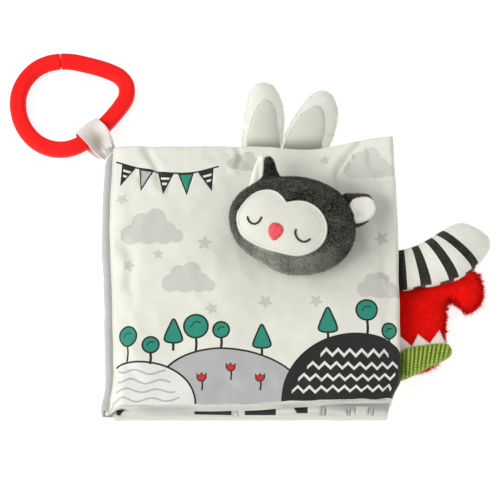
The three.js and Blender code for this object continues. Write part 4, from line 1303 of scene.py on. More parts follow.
# ---------------------------------------------------------------- link ring
RING = [(-106.5, 131.8), (-99.7, 131.5), (-93.0, 130.0), (-86.4, 128.2), (-79.9, 125.9), (-74.0, 122.7), (-70.2, 117.4), (-70.2, 110.7), (-73.4, 104.8), (-77.2, 99.6), (-81.3, 94.7), (-85.9, 89.9), (-90.9, 85.4), (-96.6, 81.9), (-102.8, 80.0),
        (-109.3, 80.2), (-115.4, 82.3), (-120.7, 86.2), (-124.9, 91.5), (-127.8, 97.7), (-129.2, 104.3), (-129.1, 111.0), (-127.3, 117.3), (-123.9, 123.0), (-119.2, 127.6), (-113.2, 130.6)]
RING_W, RING_T, RING_Z = 4.5, 3.5, 5.4

def bar_section(n=9):
    """Rounded bar: flat top and underside, tight outer corners, a bevel on the inner side (+u)."""
    W, T = RING_W, RING_T
    pts = []
    def arc(cx, cz, r, a0, a1):
        for a in np.linspace(math.radians(a0), math.radians(a1), n):
            pts.append((cx + r * math.cos(a), cz + r * math.sin(a)))
    arc(-W + 2.6, T - 2.6, 2.6, 170, 92)
    arc(W - 3.0, T - 2.6, 2.6, 88, 30)
    arc(W - 1.3, 0.0, 1.3, 22, -22)
    arc(W - 3.0, -T + 2.6, 2.6, -30, -88)
    arc(-W + 2.6, -T + 2.6, 2.6, -92, -170)
    return catmull(pts, 64, closed=True)

def link_ring():
    C = catmull(RING, 1200, closed=True)
    L = np.concatenate([[0], np.cumsum(np.linalg.norm(np.diff(C, axis=0), axis=1))])
    total = L[-1] + np.linalg.norm(C[0] - C[-1])
    Cc = np.concatenate([C, C[:1]])
    Lc = np.concatenate([L, [total]])
    half = 0.12
    ease = np.linspace(0, 1, 330)
    s_ = np.concatenate([half + np.array([0, 0.08, 0.2, 0.36, 0.6]), half + 0.9 + ease * (total - 2 * half - 1.8), total - half - np.array([0.6, 0.36, 0.2, 0.08, 0])])
    at = lambda q: np.stack([np.interp(q, Lc, Cc[:, d]) for d in (0, 1)], axis=1)
    P = at(s_)
    t = at(np.clip(s_ + 0.5, 0, total)) - at(np.clip(s_ - 0.5, 0, total))
    t /= np.linalg.norm(t, axis=1)[:, None]
    s = np.stack([t[:, 1], -t[:, 0]], axis=1)
    ctr = C.mean(0)
    sec = bar_section()
    rings = []
    for i in range(len(P)):
        inward = 1 if (ctr - P[i]) @ s[i] > 0 else -1
        end = min(s_[i] - half, total - half - s_[i])
        k = 1 - 0.09 * (1 - min(1, end / 0.7)) ** 2
        nick = 1.0 * max(0, 1 - end / 0.9) ** 1.6
        u = sec[:, 0] * k
        inner = np.clip((u - 1.2) / 3.0, 0, 1)
        u = u - nick * inner ** 2
        rings.append(np.stack([P[i, 0] + s[i, 0] * inward * u, P[i, 1] + s[i, 1] * inward * u, RING_Z + sec[:, 1] * k], axis=1))
    return loft("link_ring_moulded", rings, [m_plastic])

ring = link_ring()
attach(ring, "link"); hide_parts("link_ring")

# ------------------------------------------------------------------- ribbon
def ribbon_loop():
    c = np.array([-87.2, 88.2]); t = np.array([0.77, 0.638]); n = np.array([-0.638, 0.77])
    path = [(-15.2, 4.9, 3.6), (-12.0, 3.2, 5.6), (-8, 1.5, 6.7), (-4, .5, 7.1), (1.5, .42, 7.1), (5.0, 1.1, 7.2), (6.2, 3.0, 7.2), (6.35, 5.4, 7.2),
            (6.2, 8.0, 7.2), (5.0, 9.95, 7.2), (1.5, 10.6, 7.1), (-4, 10.5, 7.1), (-8, 9.4, 6.7), (-12.0, 8.2, 5.6), (-15.2, 6.4, 3.6)]
    S = resample(path, 9)
    ds = np.gradient(S[:, 0]); dz = np.gradient(S[:, 1])
    ln = np.hypot(ds, dz) + 1e-9
    ns, nzv = -dz / ln, ds / ln            # outward normal of the loop in (s, z)
    flip = -1 if nzv[len(S) * 3 // 4] * 1 > 0 and S[len(S) * 3 // 4, 1] > 5 and False else 1
    N = 41
    U = np.linspace(-1, 1, N)
    outer, inner, dark = [], [], []
    for i, (s, z, hw) in enumerate(S):
        top = z > 5.6
        g = smoothstep((-s - 2.0) / 14.0)            # gathers grow toward the seam
        for lst, off in ((outer, 0.0), (inner, -0.42)):
            row = []
            for u in U:
                o = off
                fold = g * (0.62 * math.cos(math.pi * 2.6 * u + 0.6) + 0.3 * math.cos(math.pi * 5.2 * u + 1.2))
                if top:
                    dim = -2.3 * math.exp(-((u + 0.1) / 0.45) ** 2) * math.exp(-((s + 8.2) / 3.0) ** 2) - 0.35 * math.exp(-((u + 0.1) / 0.45) ** 2) * math.exp(-((s + 3.0) / 4.0) ** 2)
                    rid = 2.5 * abs(u + 0.05) ** 2.0 * smoothstep((5.5 - s) / 7) * smoothstep((s + 17) / 10) - 0.5 * smoothstep((5.5 - s) / 7) * smoothstep((s + 14) / 8)
                    o += dim + rid + 0.16 * nz(u * 5, s, 0.35, 4.0)
                o += fold * (1 if top else 0.6)
                # The loop's outward side is away from the bar at z = 5.4.
                sx = s + (s - 0) / (abs(s) + 6) * 0
                dirn = np.array([ns[i], nzv[i]])
                cx = s - 0.0
                if dirn @ np.array([cx if abs(cx) > 5.5 else 0, z - 5.5]) < 0:
                    dirn = -dirn
                w = hw * u
                shift = -0.6 - 1.3 * min(1.0, max(0.0, (-5 - s) / 10.6)) + (0.0 if top else 0.9 * min(1.0, max(0.0, (-5 - s) / 8.0)))
                edge = 0.22 * nz(s, u * 3, 0.3, 8.0)
                s_ = s + 1.0 * (1 - u * u) * float(smoothstep((s + 1) / 6))
                p = c + n * (s_ + dirn[0] * o) + t * (w + shift + edge)
                row.append((p[0], p[1], z + dirn[1] * o))
                # Painted shade: darker in the dimple on top and along one edge toward the seam.
                h = 0.0
                if top:
                    h = 0.72 * math.exp(-((u + 0.1) / 0.55) ** 2 - ((s + 4.0) / 5.6) ** 2) + 0.45 * math.exp(-((u - 0.97) / 0.16) ** 2) * float(smoothstep((-s - 1) / 5))
                dark.append(min(1.0, h))
            lst.append(row)
    A, B = np.array(outer), np.array(inner)
    ny, nx = A.shape[:2]
    V = np.concatenate([A.reshape(-1, 3), B.reshape(-1, 3)])
    m = ny * nx
    F = []
    for j in range(ny - 1):
        for i in range(nx - 1):
            a = j * nx + i
            F.append((a, a + 1, a + nx + 1, a + nx)); F.append((m + a, m + a + nx, m + a + nx + 1, m + a + 1))
    rim = list(range(nx)) + [j * nx + nx - 1 for j in range(1, ny)] + [(ny - 1) * nx + i for i in range(nx - 2, -1, -1)] + [j * nx for j in range(ny - 2, 0, -1)]
    for a, b in zip(rim, rim[1:] + rim[:1]):
        F.append((b, a, m + a, m + b))
    dark = np.array(dark).reshape(len(S), 2, N).transpose(1, 0, 2).ravel()
    ob = build("ribbon_loop", V, F, [m_ribbon], attrs={"painted_light": dark})
    face_out(ob)
    L = np.hypot(np.diff(S[:, 0]), np.diff(S[:, 1])).sum()
    return ob, L

ribbon, RIB_L = ribbon_loop()
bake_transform(ribbon, "back_cover", "ribbon", start=(-0.0775, 0.0765, 0.0055), end=(-0.0811, 0.0809, 0.0055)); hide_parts("hanging_ribbon")

# --------------------------------------------------------------------- head
HEAD_Z, HEAD_UP, HEAD_DOWN = 37.0, 18.0, 12.8
HEAD_OUT = [(-13.2, 28.6), (-10.4, 37.4), (-4, 43.8), (5, 48.6), (16.5, 50.0), (27.5, 49.3), (37.6, 45.9), (45.8, 40.4), (51.0, 33.2), (53.3, 24.3), (52.4, 14.2), (47.2, 5.6), (37.2, -0.9), (24.1, -3.2), (13.2, -1.6), (4, 4.4), (-4.9, 10.2), (-10.9, 18)]
_hc = catmull(HEAD_OUT, 720, closed=True) - HEAD_C
_ha = np.arctan2(_hc[:, 1], _hc[:, 0])
_o = np.argsort(_ha)
_ha, _hr = _ha[_o], np.hypot(_hc[:, 0], _hc[:, 1])[_o]
_ha = np.concatenate([_ha[-1:] - 2 * math.pi, _ha, _ha[:1] + 2 * math.pi])
_hr = np.concatenate([_hr[-1:], _hr, _hr[:1]])

def head_radius(th):
    return np.interp(th, _ha, _hr)

def lumps(th, r):
    """Unevenness of the stuffing, and the small puckers along the seam."""
    out = []
    for t, q in zip(np.ravel(th), np.ravel(r)):
        p = Vector((q * math.cos(t) * 2.0, q * math.sin(t) * 2.0, 3.1))
        v = 0.75 * noise.noise(p) + 0.3 * noise.noise(p * 2.6)
        v += 0.16 * math.cos(t * 46 + 3 * math.sin(t * 5)) * max(0, (q - 0.8) / 0.2) ** 2
        out.append(v)
    return np.array(out).reshape(np.shape(th))

def head_top(x, y):
    dx, dy = np.asarray(x) - HEAD_C[0], np.asarray(y) - HEAD_C[1]
    th = np.arctan2(dy, dx)
    r = np.clip(np.hypot(dx, dy) / head_radius(th), 0, 0.999)
    return HEAD_Z + HEAD_UP * np.sqrt(1 - r ** 2.3) + lumps(th, r) * 0.9

def head_half(name, up, exp, nr, na, thick, attr=True):
    """One half of the head's skin: a closed shell with the seam at its rim."""
    A = np.linspace(-math.pi, math.pi, na, endpoint=False)
    R = np.sin(np.linspace(0, math.pi / 2, nr)) ** 0.92
    def sheet(off):
        G = np.zeros((nr, na, 3))
        for i, r in enumerate(R):
            rr = np.full(na, r)
            L = lumps(A, rr) * 0.9
            rad = head_radius(A) * r
            h = abs(up) * math.sqrt(max(0, 1 - r ** exp))
            k = max(0.0, (r - 0.9) / 0.1)
            groove = 1.6 * math.exp(-(h / 1.1) ** 2)
            rad = rad - groove - off * k
            G[i, :, 0] = HEAD_C[0] + rad * np.cos(A)
            G[i, :, 1] = HEAD_C[1] + rad * np.sin(A)
            lift = (L * (1 - k) - off * (1 - k))
            G[i, :, 2] = HEAD_Z + (h + lift if up > 0 else -(h + lift))
            if i == nr - 1:
                G[i, :, 2] = HEAD_Z + (0.12 if up > 0 else -0.12)
        return G
    out_, in_ = sheet(0.0), sheet(thick)
    def flat(G):
        return np.concatenate([G[:1, 0], G[1:].reshape(-1, 3)])
    V = np.concatenate([flat(out_), flat(in_)])
    n = 1 + (nr - 1) * na
    F = []
    for base, rev in ((0, False), (n, True)):
        for j in range(na):
            f = (base, base + 1 + j, base + 1 + (j + 1) % na)
            F.append(f[::-1] if rev else f)
        for i in range(nr - 2):
            for j in range(na):
                a, b = base + 1 + i * na + j, base + 1 + i * na + (j + 1) % na
                f = (a, a + na, b + na, b)
                F.append(f[::-1] if rev else f)
    last = 1 + (nr - 2) * na
    for j in range(na):
        a, b = last + j, last + (j + 1) % na
        F.append((a, n + a, n + b, b))
    # Painted sheen: the head's lower side and a band along its left rim are made lighter.
    painted_light_tone = []
    for x, y, z in V:
        th = math.atan2(y - HEAD_C[1], x - HEAD_C[0])
        r = math.hypot(x - HEAD_C[0], y - HEAD_C[1]) / head_radius(th)
        deg = math.degrees(th)
        w = 0.0
        if -172 < deg < -25:
            w = float(smoothstep((r - 0.74) / 0.14)) * float(window(np.array(deg), -150, -48, 40))
        w += 0.35 * float(smoothstep((r - 0.88) / 0.12)) * float(window(np.array(deg), -215, -120, 40) if deg < 0 else window(np.array(deg), 120, 215, 50))
        painted_light_tone.append(max(0.0, min(1.0, w * (0.75 + 0.5 * nz(x, y, 0.12, 2.0)))))
    ob = build(name, V, F, [m_headfur], None, True, {"painted_light_tone": painted_light_tone})
    face_out(ob)
    return ob

def outward(P, D):
    c = np.stack([P[:, 0] - HEAD_C[0], P[:, 1] - HEAD_C[1], np.zeros(len(P))], axis=1)
    c /= np.linalg.norm(c, axis=1)[:, None] + 1e-9
    c[:, 1] -= 0.4
    return c

FACE = [(-9.2, 26.0), (-7.2, 30.0), (-2.9, 34.8), (1.9, 37.7), (7.2, 38.3), (11.3, 37.0), (14.2, 34.3), (16.3, 31.0), (16.9, 30.0), (17.7, 30.0), (22.1, 30.7), (27.5, 30.2), (32.6, 27.6), (36.2, 23.2), (38.1, 17.8), (37.6, 12.2), (35.2, 7.8), (31.0, 4.4), (25.1, 2.3), (18.6, 2.5), (11.2, 4.6), (3.8, 7.6), (-2.6, 11.4), (-6.8, 15.4), (-8.9, 20.6)]
face_line = catmull(FACE, 170, closed=True)

def off_face(C):
    far = ~(inside(C[:, :2], offset(face_line, 0.4)) & (C[:, 2] > HEAD_Z))
    outer = C[:, 2] > -99
    return (far & outer).astype(float)

def shell_outer(C, N=None):
    dx, dy = C[:, 0] - HEAD_C[0], C[:, 1] - HEAD_C[1]
    th = np.arctan2(dy, dx)
    r = np.clip(np.hypot(dx, dy) / head_radius(th), 0, 0.9999)
    h = np.where(C[:, 2] > HEAD_Z, HEAD_UP * np.sqrt(1 - r ** 2.3), HEAD_DOWN * np.sqrt(1 - r ** 3.2)) + lumps(th, r) * 0.9
    return (((np.abs(C[:, 2] - HEAD_Z) > h - 0.35) | (r > 0.965)) & (np.abs(C[:, 2] - HEAD_Z) > 1.3)).astype(float)

head_front = head_half("head_front_skin", HEAD_UP, 2.3, 46, 150, 0.6)
head_back = head_half("head_back_skin", -HEAD_DOWN, 3.2, 30, 130, 0.6)
# The fibres carry the painted sheen of the skin at their roots.
g1 = spikes(head_front, 12500, 0.7, 0.09, 11, comb=outward, comb_mix=0.4, jitter=0.3, mat=0, keep=lambda C: off_face(C) * shell_outer(C), attr=["painted_light_tone"])
head_front = with_spikes(head_front, [g1])
g2 = spikes(head_back, 9000, 0.85, 0.09, 12, comb=outward, comb_mix=0.3, jitter=0.3, mat=0, keep=shell_outer, attr=["painted_light_tone"])
head_back = with_spikes(head_back, [g2])
for ob, nd in ((head_front, "head_front_plush"), (head_back, "head_back_plush")):
    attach(ob, "animal_head"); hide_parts(nd)

def face_h(x, y, d):
    rim = 1.35
    ridge = np.where(d < rim, 0.62 * np.sin(np.pi * np.clip(d / rim, 0, 1)) ** 0.7 + 0.28, 0.30)
    groove = -0.3 * np.exp(-((d - 1.55) / 0.28) ** 2) + 0.12 * np.exp(-((d - 2.35) / 0.3) ** 2) - 0.2 * np.exp(-((d - 2.85) / 0.25) ** 2)
    puff = 0.45 * (1 - np.exp(-np.maximum(d - 2.6, 0) / 4.0))
    return head_top(x, y) + 0.25 + ridge + groove + puff

rings_in = [offset(face_line, -q) for q in (0.35, 0.7, 1.05, 1.4, 1.75, 2.1, 2.5, 2.9)]
face = pillow("face_patch_sewn", face_line, face_h, lambda x, y, d: head_top(x, y) + 0.05, 1.15, [m_face, m_wthread],
              mi=lambda C, d, side: np.where(d < 1.3, 1, 0), extra=rings_in)
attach(face, "animal_head"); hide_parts("face_patch")

def face_top(x, y):
    x, y = np.atleast_1d(x), np.atleast_1d(y)
    d = edge_dist(np.stack([x, y], axis=1), face_line)
    return face_h(x, y, d)

for nm, pts in (("left_eye", [(-3.4, 23.6), (-3.3, 22.4), (-2.6, 20.8), (-1.1, 19.3), (0.9, 18.9), (2.7, 20.0), (3.7, 21.6), (4.2, 22.0)]),
                ("right_eye", [(22.0, 14.9), (21.4, 13.8), (21.5, 12.0), (22.6, 10.0), (24.8, 8.6), (27.0, 8.6), (28.7, 9.7), (29.3, 10.3)])):
    C = catmull(pts, 90)
    z = face_top(C[:, 0], C[:, 1]) + 0.28
    e = tube(nm + "_stitch", np.concatenate([C, z[:, None]], axis=1), 0.52, [m_thread], 10, twist=1.3)
    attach(e, "animal_head"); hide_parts(nm + "_stitching")

BEAK = [(7.5, 13.8), (7.7, 16.4), (9.1, 18.2), (11.4, 18.5), (13.8, 17.4), (15.2, 15.3), (14.7, 12.9), (12.9, 11.1), (10.9, 9.9), (8.9, 11.0)]
beak_line = catmull(BEAK, 80, closed=True)
beak = pillow("beak_padded", beak_line, lambda x, y, d: face_top(x, y) + 0.1 + 1.7 * (1 - np.exp(-d / 1.1)) + 0.18 * np.array([nz(a, b, 0.9, 5) for a, b in zip(x, y)]),
              lambda x, y, d: face_top(x, y) - 0.05, 0.5, [m_beak])
gb = spikes(beak, 900, 0.3, 0.09, 21, jitter=0.5, mat=0, keep=lambda C: (C[:, 2] > face_top(C[:, 0], C[:, 1]) + 0.1).astype(float))
beak = with_spikes(beak, [gb])
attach(beak, "animal_head"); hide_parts("beak")

# --------------------------------------------------------------- head ears
def dome(h, w):
    return lambda d: h * np.sqrt(1 - (1 - np.clip(d / w, 0, 1)) ** 2)

L_DARK = [(1.6, 45.6), (4.6, 49.8), (5.5, 53.8), (5.7, 57.9), (6.6, 60.2), (7.9, 60.9), (9.2, 60.1), (10.5, 58.0), (11.5, 54.4), (12.9, 51.0), (15.2, 47.6), (9, 44.5)]
L_WHITE = [(-3.0, 43.4), (-2.0, 48.6), (-0.6, 53.8), (1.0, 58.6), (2.4, 61.6), (4.6, 62.4), (6.4, 60.6), (6.2, 57.6), (6.0, 53.6), (5.6, 49.2), (5.2, 44.6), (1.5, 42.2)]
R_DARK = [(44.8, 36.5), (46.2, 39.2), (48.4, 40.7), (51.4, 40.9), (55.4, 41.5), (58.6, 41.6), (61.4, 40.2), (63.1, 36.3), (62.9, 32.5), (61.2, 28.9), (58.9, 26.0), (54.6, 23.6), (51.3, 22.4), (48.0, 24.6), (45.6, 30)]
R_WHITE = [(48.9, 29.0), (49.6, 33.4), (51.8, 37.4), (55.4, 39.4), (59.4, 39.8), (62.8, 38.0), (64.2, 33.8), (63.3, 30.0), (60.7, 27.1), (56.9, 25.4), (52.6, 24.3), (50.0, 25.6)]

dl, dr = dome(3.0, 4.6), dome(2.6, 5.0)
lean_l = lambda y: 38.6 + 0.1 * (y - 46)
# Painted sheen: the left ear's shell is lighter toward its tip.
ear_ld = pillow("left_ear_shell", catmull(L_DARK, 110, closed=True), lambda x, y, d: lean_l(y) + 1.0 + dl(d), lambda x, y, d: lean_l(y) + 1.0 - 0.8 * dl(d), 0.9, [m_headfur],
                attrs={"painted_light_tone": lambda V, d: 0.18 * smoothstep((V[:, 1] - 55) / 6)})
gl = spikes(ear_ld, 6500, 0.85, 0.085, 31, comb=lambda P, D: np.tile([0.0, 1.0, 0.15], (len(P), 1)), comb_mix=0.4, jitter=0.3, mat=0, attr=["painted_light_tone"])
ear_ld = with_spikes(ear_ld, [gl])
dlw = dome(1.5, 2.4)
ear_lw = pillow("left_ear_lining_cloth", catmull(L_WHITE, 100, closed=True), lambda x, y, d: lean_l(y) + 0.4 - 0.35 * (x - 2) * 0.3 + dlw(d) - 0.6 * np.exp(-((x - 2.6) / 1.2) ** 2), lambda x, y, d: lean_l(y) - 0.8 - 0.35 * (x - 2) * 0.3 - 0.8 * dlw(d), 0.8, [m_earlight])
base_r = lambda x: 34.4 + 0.06 * (x - 46) + 3.2 * smoothstep((58 - x) / 9)
# Painted sheen: the right ear's shell is lighter along its upper right part.
ear_rd = pillow("right_ear_shell", catmull(R_DARK, 130, closed=True), lambda x, y, d: base_r(x) + dr(d) * 0.55 + 1.6 * smoothstep((y - 35) / 5), lambda x, y, d: base_r(x) - dr(d), 0.9, [m_headfur],
                attrs={"painted_light_tone": lambda V, d: 0.3 * smoothstep((V[:, 1] - 36) / 5) * (V[:, 0] > 49)})
gr = spikes(ear_rd, 8000, 0.85, 0.085, 32, comb=lambda P, D: np.tile([1.0, 0.2, 0.15], (len(P), 1)), comb_mix=0.35, jitter=0.3, mat=0, attr=["painted_light_tone"],
            keep=lambda C: (~(inside(C[:, :2], offset(catmull(R_WHITE, 60, closed=True), 0.4)) & (C[:, 2] > base_r(C[:, 0])))).astype(float))
ear_rd = with_spikes(ear_rd, [gr])
drw = dome(1.5, 2.6)
dimple = lambda x, y: 1.7 * np.exp(-(((x - 54.3) / 2.3) ** 2 + ((y - 29.6) / 1.5) ** 2)) + 0.5 * np.exp(-(((x - 52.5) / 1.5) ** 2 + ((y - 28.2) / 3.0) ** 2))
ear_rw = pillow("right_ear_lining_cloth", catmull(R_WHITE, 110, closed=True), lambda x, y, d: base_r(x) + 2.4 + drw(d) - dimple(x, y), lambda x, y, d: base_r(x) + 0.9 + 0 * d, 0.7, [m_earlight])
for ob, nd, sl in ((ear_ld, "left_ear_plush", "grey_plush"), (ear_lw, "left_ear_lining", "ear_satin"), (ear_rd, "right_ear_plush", "grey_plush"), (ear_rw, "right_ear_lining", "ear_satin")):
    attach(ob, "animal_head"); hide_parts(nd)

# --------------------------------------------------------------- long ears
ZS = 11.85
LONG = {
    "left": dict(st=[(4.0, 72.4, ZS, 8.2, 1.3), (4.1, 74.6, ZS, 9.5, 1.5), (4.3, 80, ZS - .8, 10.7, 3.6), (4.9, 88, ZS - 2.2, 11.0, 4.9), (5.6, 96, ZS - 3.8, 10.8, 5.2), (5.9, 103, ZS - 5.0, 10.1, 5.0), (5.7, 109, ZS - 6.0, 9.0, 4.5), (5.3, 113.8, ZS - 6.8, 7.4, 3.7), (5.0, 117.2, ZS - 7.3, 5.3, 2.6), (4.9, 118.9, ZS - 7.5, 3.5, 1.6)],
                 lin=[(-4.6, 73.4), (-4.2, 80), (-3.0, 88.1), (-1.0, 96.1), (2.2, 104.0), (6.4, 107.6), (10.6, 104.6), (12.8, 96.9), (13.8, 88.1), (14.2, 80), (14.2, 73.4)], body="left_long_ear"),
    "right": dict(st=[(25.5, 72.4, ZS, 9.2, 1.3), (26.2, 74.6, ZS, 10.7, 1.5), (27.9, 80, ZS - .8, 12.0, 3.6), (30.7, 87, ZS - 2.2, 12.2, 4.9), (33.4, 94, ZS - 3.6, 11.7, 5.1), (35.4, 100, ZS - 4.8, 10.6, 4.9), (36.5, 105, ZS - 5.8, 9.3, 4.3), (37.2, 109.4, ZS - 6.6, 7.3, 3.5), (37.4, 112.5, ZS - 7.1, 5.2, 2.5), (37.4, 113.9, ZS - 7.3, 3.4, 1.6)],
                  lin=[(15.6, 73.4), (16.6, 80), (19.0, 86.9), (22.6, 94.0), (27.7, 100.6), (33.4, 103.9), (37.2, 101.4), (38.8, 94.4), (38.6, 86.3), (37.0, 80), (35.6, 73.4)], body="right_long_ear"),
}
for side_name, E in LONG.items():
    S = resample(E["st"], 7)
    P = S[:, :3]
    tt = np.gradient(P[:, :2], axis=0)
    tt /= np.linalg.norm(tt, axis=1)[:, None]
    a = np.linspace(0, 2 * math.pi, 44, endpoint=False)
    rings = []
    for i in range(len(S)):
        sd = np.array([tt[i, 1], -tt[i, 0]])
        cu, sv = np.cos(a), np.sin(a)
        u = np.sign(cu) * np.abs(cu) ** 0.9 * S[i, 3]
        # The lining side is flatter.
        h = np.where(sv > 0, 0.9 * np.abs(sv) ** 1.9, -np.abs(sv) ** 1.2) * S[i, 4]
        wob = np.array([0.28 * nz(P[i, 0] + x, P[i, 1], 0.13, 4.0 + len(side_name)) for x in u])
        rings.append(np.stack([P[i, 0] + sd[0] * u, P[i, 1] + sd[1] * u, P[i, 2] + h + wob], axis=1))
    fleece = loft(f"{side_name}_long_ear_skin", rings, [m_earfur, m_earfuzz], pole1=P[-1] + np.array([tt[-1, 0] * 0.9, tt[-1, 1] * 0.9, -0.1]))
    def ear_surface(x, y, S=S, tt=tt):
        x, y = np.atleast_1d(x).astype(float), np.atleast_1d(y).astype(float)
        out = []
        for xx, yy in zip(x, y):
            # The section through the point, square to the ear's middle line.
            g = (xx - S[:, 0]) * tt[:, 0] + (yy - S[:, 1]) * tt[:, 1]
            i = int(np.clip(np.argmax(g < 0) if (g < 0).any() else len(S) - 1, 1, len(S) - 1))
            f = float(np.clip(g[i - 1] / (g[i - 1] - g[i]), 0, 1))
            q = S[i - 1] * (1 - f) + S[i] * f
            n_ = tt[i - 1] * (1 - f) + tt[i] * f
            u = np.clip(((xx - q[0]) * n_[1] - (yy - q[1]) * n_[0]) / q[3], -0.98, 0.98)
            out.append(q[2] + 0.9 * max(1 - abs(u) ** 2.22, 0) ** 0.95 * q[4])
        return np.array(out)
    line = catmull(E["lin"], 120, closed=True)
    # Painted shade: the lining darkens toward its base, where the cover's edge would shade it.
    lining = pillow(f"{side_name}_long_ear_lining_cloth", line, lambda x, y, d: ear_surface(x, y) + 0.15 + 0.55 * (1 - np.exp(-d / 0.8)) - 0.25 * np.exp(-((d - 1.4) / 0.4) ** 2)
                    + 0.2 * np.array([nz(p, q, 0.12, 6.0) for p, q in zip(x, y)]), lambda x, y, d: ear_surface(x, y) - 0.35, 1.1, [m_earsatin],
                    attrs={"painted_light": lambda V, d: 0.95 * (1 - smoothstep((V[:, 1] - 76.5) / 9.5)) ** 1.3})
    inl = lambda C, line=line: (~(inside(C[:, :2], line) & (C[:, 2] > 6.0))).astype(float)
    gf = spikes(fleece, 2200, 0.5, 0.085, 41 + len(side_name), comb=lambda P_, D: np.tile([0.0, 1.0, -0.1], (len(P_), 1)), comb_mix=0.45, jitter=0.35, mat=0, keep=lambda C: inl(C) * (C[:, 1] > 73.4))
    sdv = np.stack([tt[:, 1], -tt[:, 0]], axis=1) * S[:, 3:4]
    hem = np.concatenate([(P[:, :2] + sdv)[4:], (P[:, :2] - sdv)[4:][::-1]])
    gs = spikes(fleece, 900, 1.7, 0.05, 47 + len(side_name), comb=lambda P_, D: np.tile([0.0, 1.0, -0.1], (len(P_), 1)), comb_mix=0.3, jitter=0.4, mat=1,
                keep=lambda C: inl(C) * (C[:, 1] > 76) * np.exp(-(edge_dist(C[:, :2], hem, closed=False) / 0.7) ** 2))
    core = loft(f"{side_name}_long_ear_core", [r.mean(0) + (r - r.mean(0)) * np.array([0.84, 0.84, 0.62]) for r in rings[2:-4:3]], [m_wad])
    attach(core, E["body"]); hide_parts(f"{side_name}_long_ear_filling")
    fleece = with_spikes(fleece, [gf, gs])
    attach(fleece, E["body"]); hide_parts(f"{side_name}_long_ear_fleece")
    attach(lining, E["body"]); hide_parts(f"{side_name}_long_ear_lining")

# ------------------------------------------------------------ striped tail
TAIL = [((75.4, 15.0), (75.4, -7.2), ZS + .1, 1.5), ((77.2, 15.4), (77.6, -7.6), ZS + .6, 2.7), ((79.9, 15.7), (81.3, -7.3), ZS + 2.7, 5.0), ((83.4, 16.5), (88.2, -5.3), ZS + 5.7, 7.2),
        ((86.6, 17.6), (94.0, -4.8), ZS + 7.5, 8.5), ((89.8, 19.3), (103.1, -2.3), ZS + 9.1, 9.3), ((93.6, 21.6), (108.4, -0.6), ZS + 9.8, 9.6), ((95.7, 22.9), (115.4, 4.1), ZS + 9.7, 9.6),
        ((99.5, 25.5), (118.9, 7.2), ZS + 9.4, 9.5), ((104.4, 28.5), (122.0, 11.0), ZS + 9.0, 9.1), ((110.9, 30.0), (124.5, 14.6), ZS + 8.5, 7.9), ((118.2, 27.0), (125.6, 18.5), ZS + 7.8, 5.6), ((122.6, 23.6), (125.0, 20.6), ZS + 7.4, 2.7)]
S = resample([(u[0], u[1] + (22 - zc) * 0.34, l[0], l[1] + (22 - zc) * 0.34, zc, ht) for u, l, zc, ht in TAIL], 8)
NV = 64
rings, spans = [], []
for i, row in enumerate(S):
    U, L = row[:2], row[2:4]
    c, half = (U + L) / 2, (U - L) / 2
    a = np.linspace(0, 2 * math.pi, NV, endpoint=False)
    ca, sa = np.cos(a), np.sin(a)
    k = np.sign(ca) * np.abs(ca) ** 0.94
    wob = np.array([0.45 * nz(c[0] + 9 * x, c[1] + 9 * y, 0.09, 2.0) for x, y in zip(ca, sa)])
    seam = 0.35 * np.exp(-(sa / 0.12) ** 2)
    rings.append(np.stack([c[0] + half[0] * k * (1 - seam * 0.03), c[1] + half[1] * k * (1 - seam * 0.03), row[4] + row[5] * np.sign(sa) * np.abs(sa) ** 0.94 + wob * (1 - np.abs(ca) ** 3)], axis=1))
STRIPES = ((0, 2), (3, 4), (5, 6), (7, 8))
def stripe_at(i, j):
    t = (i + 0.5) / 8
    ang = 2 * math.pi * (j + 0.5) / NV
    if math.cos(ang) < 0 and math.sin(ang) < 0.2:
        t += 0.5
    elif math.sin(ang) < 0.1:
        t += 0.15
    return 1 if any(lo <= t < hi for lo, hi in STRIPES) else 0
# Painted shade: the tail is darker near its base, where the book would shade it.
near = 0.42 * (1 - smoothstep((np.concatenate(rings)[:, 0] - 78) / 13))
tail = loft("striped_tail_skin", rings, [m_whitefur, m_stripe], mi=stripe_at, pole1=(124.9, 24.4, ZS + 7.3), attrs={"painted_light_tone": np.append(near, [0.42, 0.0])})
gt = spikes(tail, 3600, 0.42, 0.085, 51, comb=lambda P_, D: np.tile([0.75, 0.6, 0.0], (len(P_), 1)), comb_mix=0.35, jitter=0.35, mat="face", keep=lambda C: (C[:, 0] > 76.3).astype(float), attr=["painted_light_tone"])
tail_core = loft("striped_tail_core", [r.mean(0) + (r - r.mean(0)) * 0.84 for r in rings[5:-6:4]], [m_wad])
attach(tail_core, "striped_tail"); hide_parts("striped_tail_stuffing")
tail = with_spikes(tail, [gt])
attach(tail, "striped_tail"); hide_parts("striped_tail_plush")

# ------------------------------------------------------------- fleece tail
RED = [(75.0, -33.0), (75.6, -40.5), (78.6, -44.6), (83.0, -46.4), (88.0, -46.2), (92.4, -44.6), (96.4, -41.6), (99.0, -37.0), (100.2, -31.0), (100.9, -24.0), (101.4, -16.4), (102.0, -10.8), (103.6, -8.0), (106.2, -7.8),
       (109.4, -10.4), (113.2, -13.4), (117.6, -11.4), (120.6, -7.2), (121.6, -1.8), (121.0, 3.4), (118.2, 8.2), (112.6, 9.4), (105.6, 7.0), (98.0, 3.6), (90.0, 0.2), (81.0, -1.6), (75.8, -4.2), (75.0, -20.0)]
red_line = catmull(RED, 190, closed=True)
def red_up(x, y, d):
    z = 5.7 + 5.4 * (1 - (1 - np.clip(d / 9.5, 0, 1)) ** 2) ** 1.1
    tuft = np.array([0.5 * nz(p, q, 0.12, 9.0) + 0.4 * nz(p, q, 0.45, 3.0) + 0.25 * nz(p, q, 0.9, 5.0) for p, q in zip(x, y)])
    return z + tuft * np.clip(d / 2, 0, 1)
def red_dn(x, y, d):
    z = 5.7 - 5.3 * np.sqrt(1 - (1 - np.clip(d / 7.0, 0, 1)) ** 2)
    return np.maximum(z, 0.3)
red = pillow("fleece_tail_skin", red_line, red_up, red_dn, 0.9, [m_redfur, m_redtip])
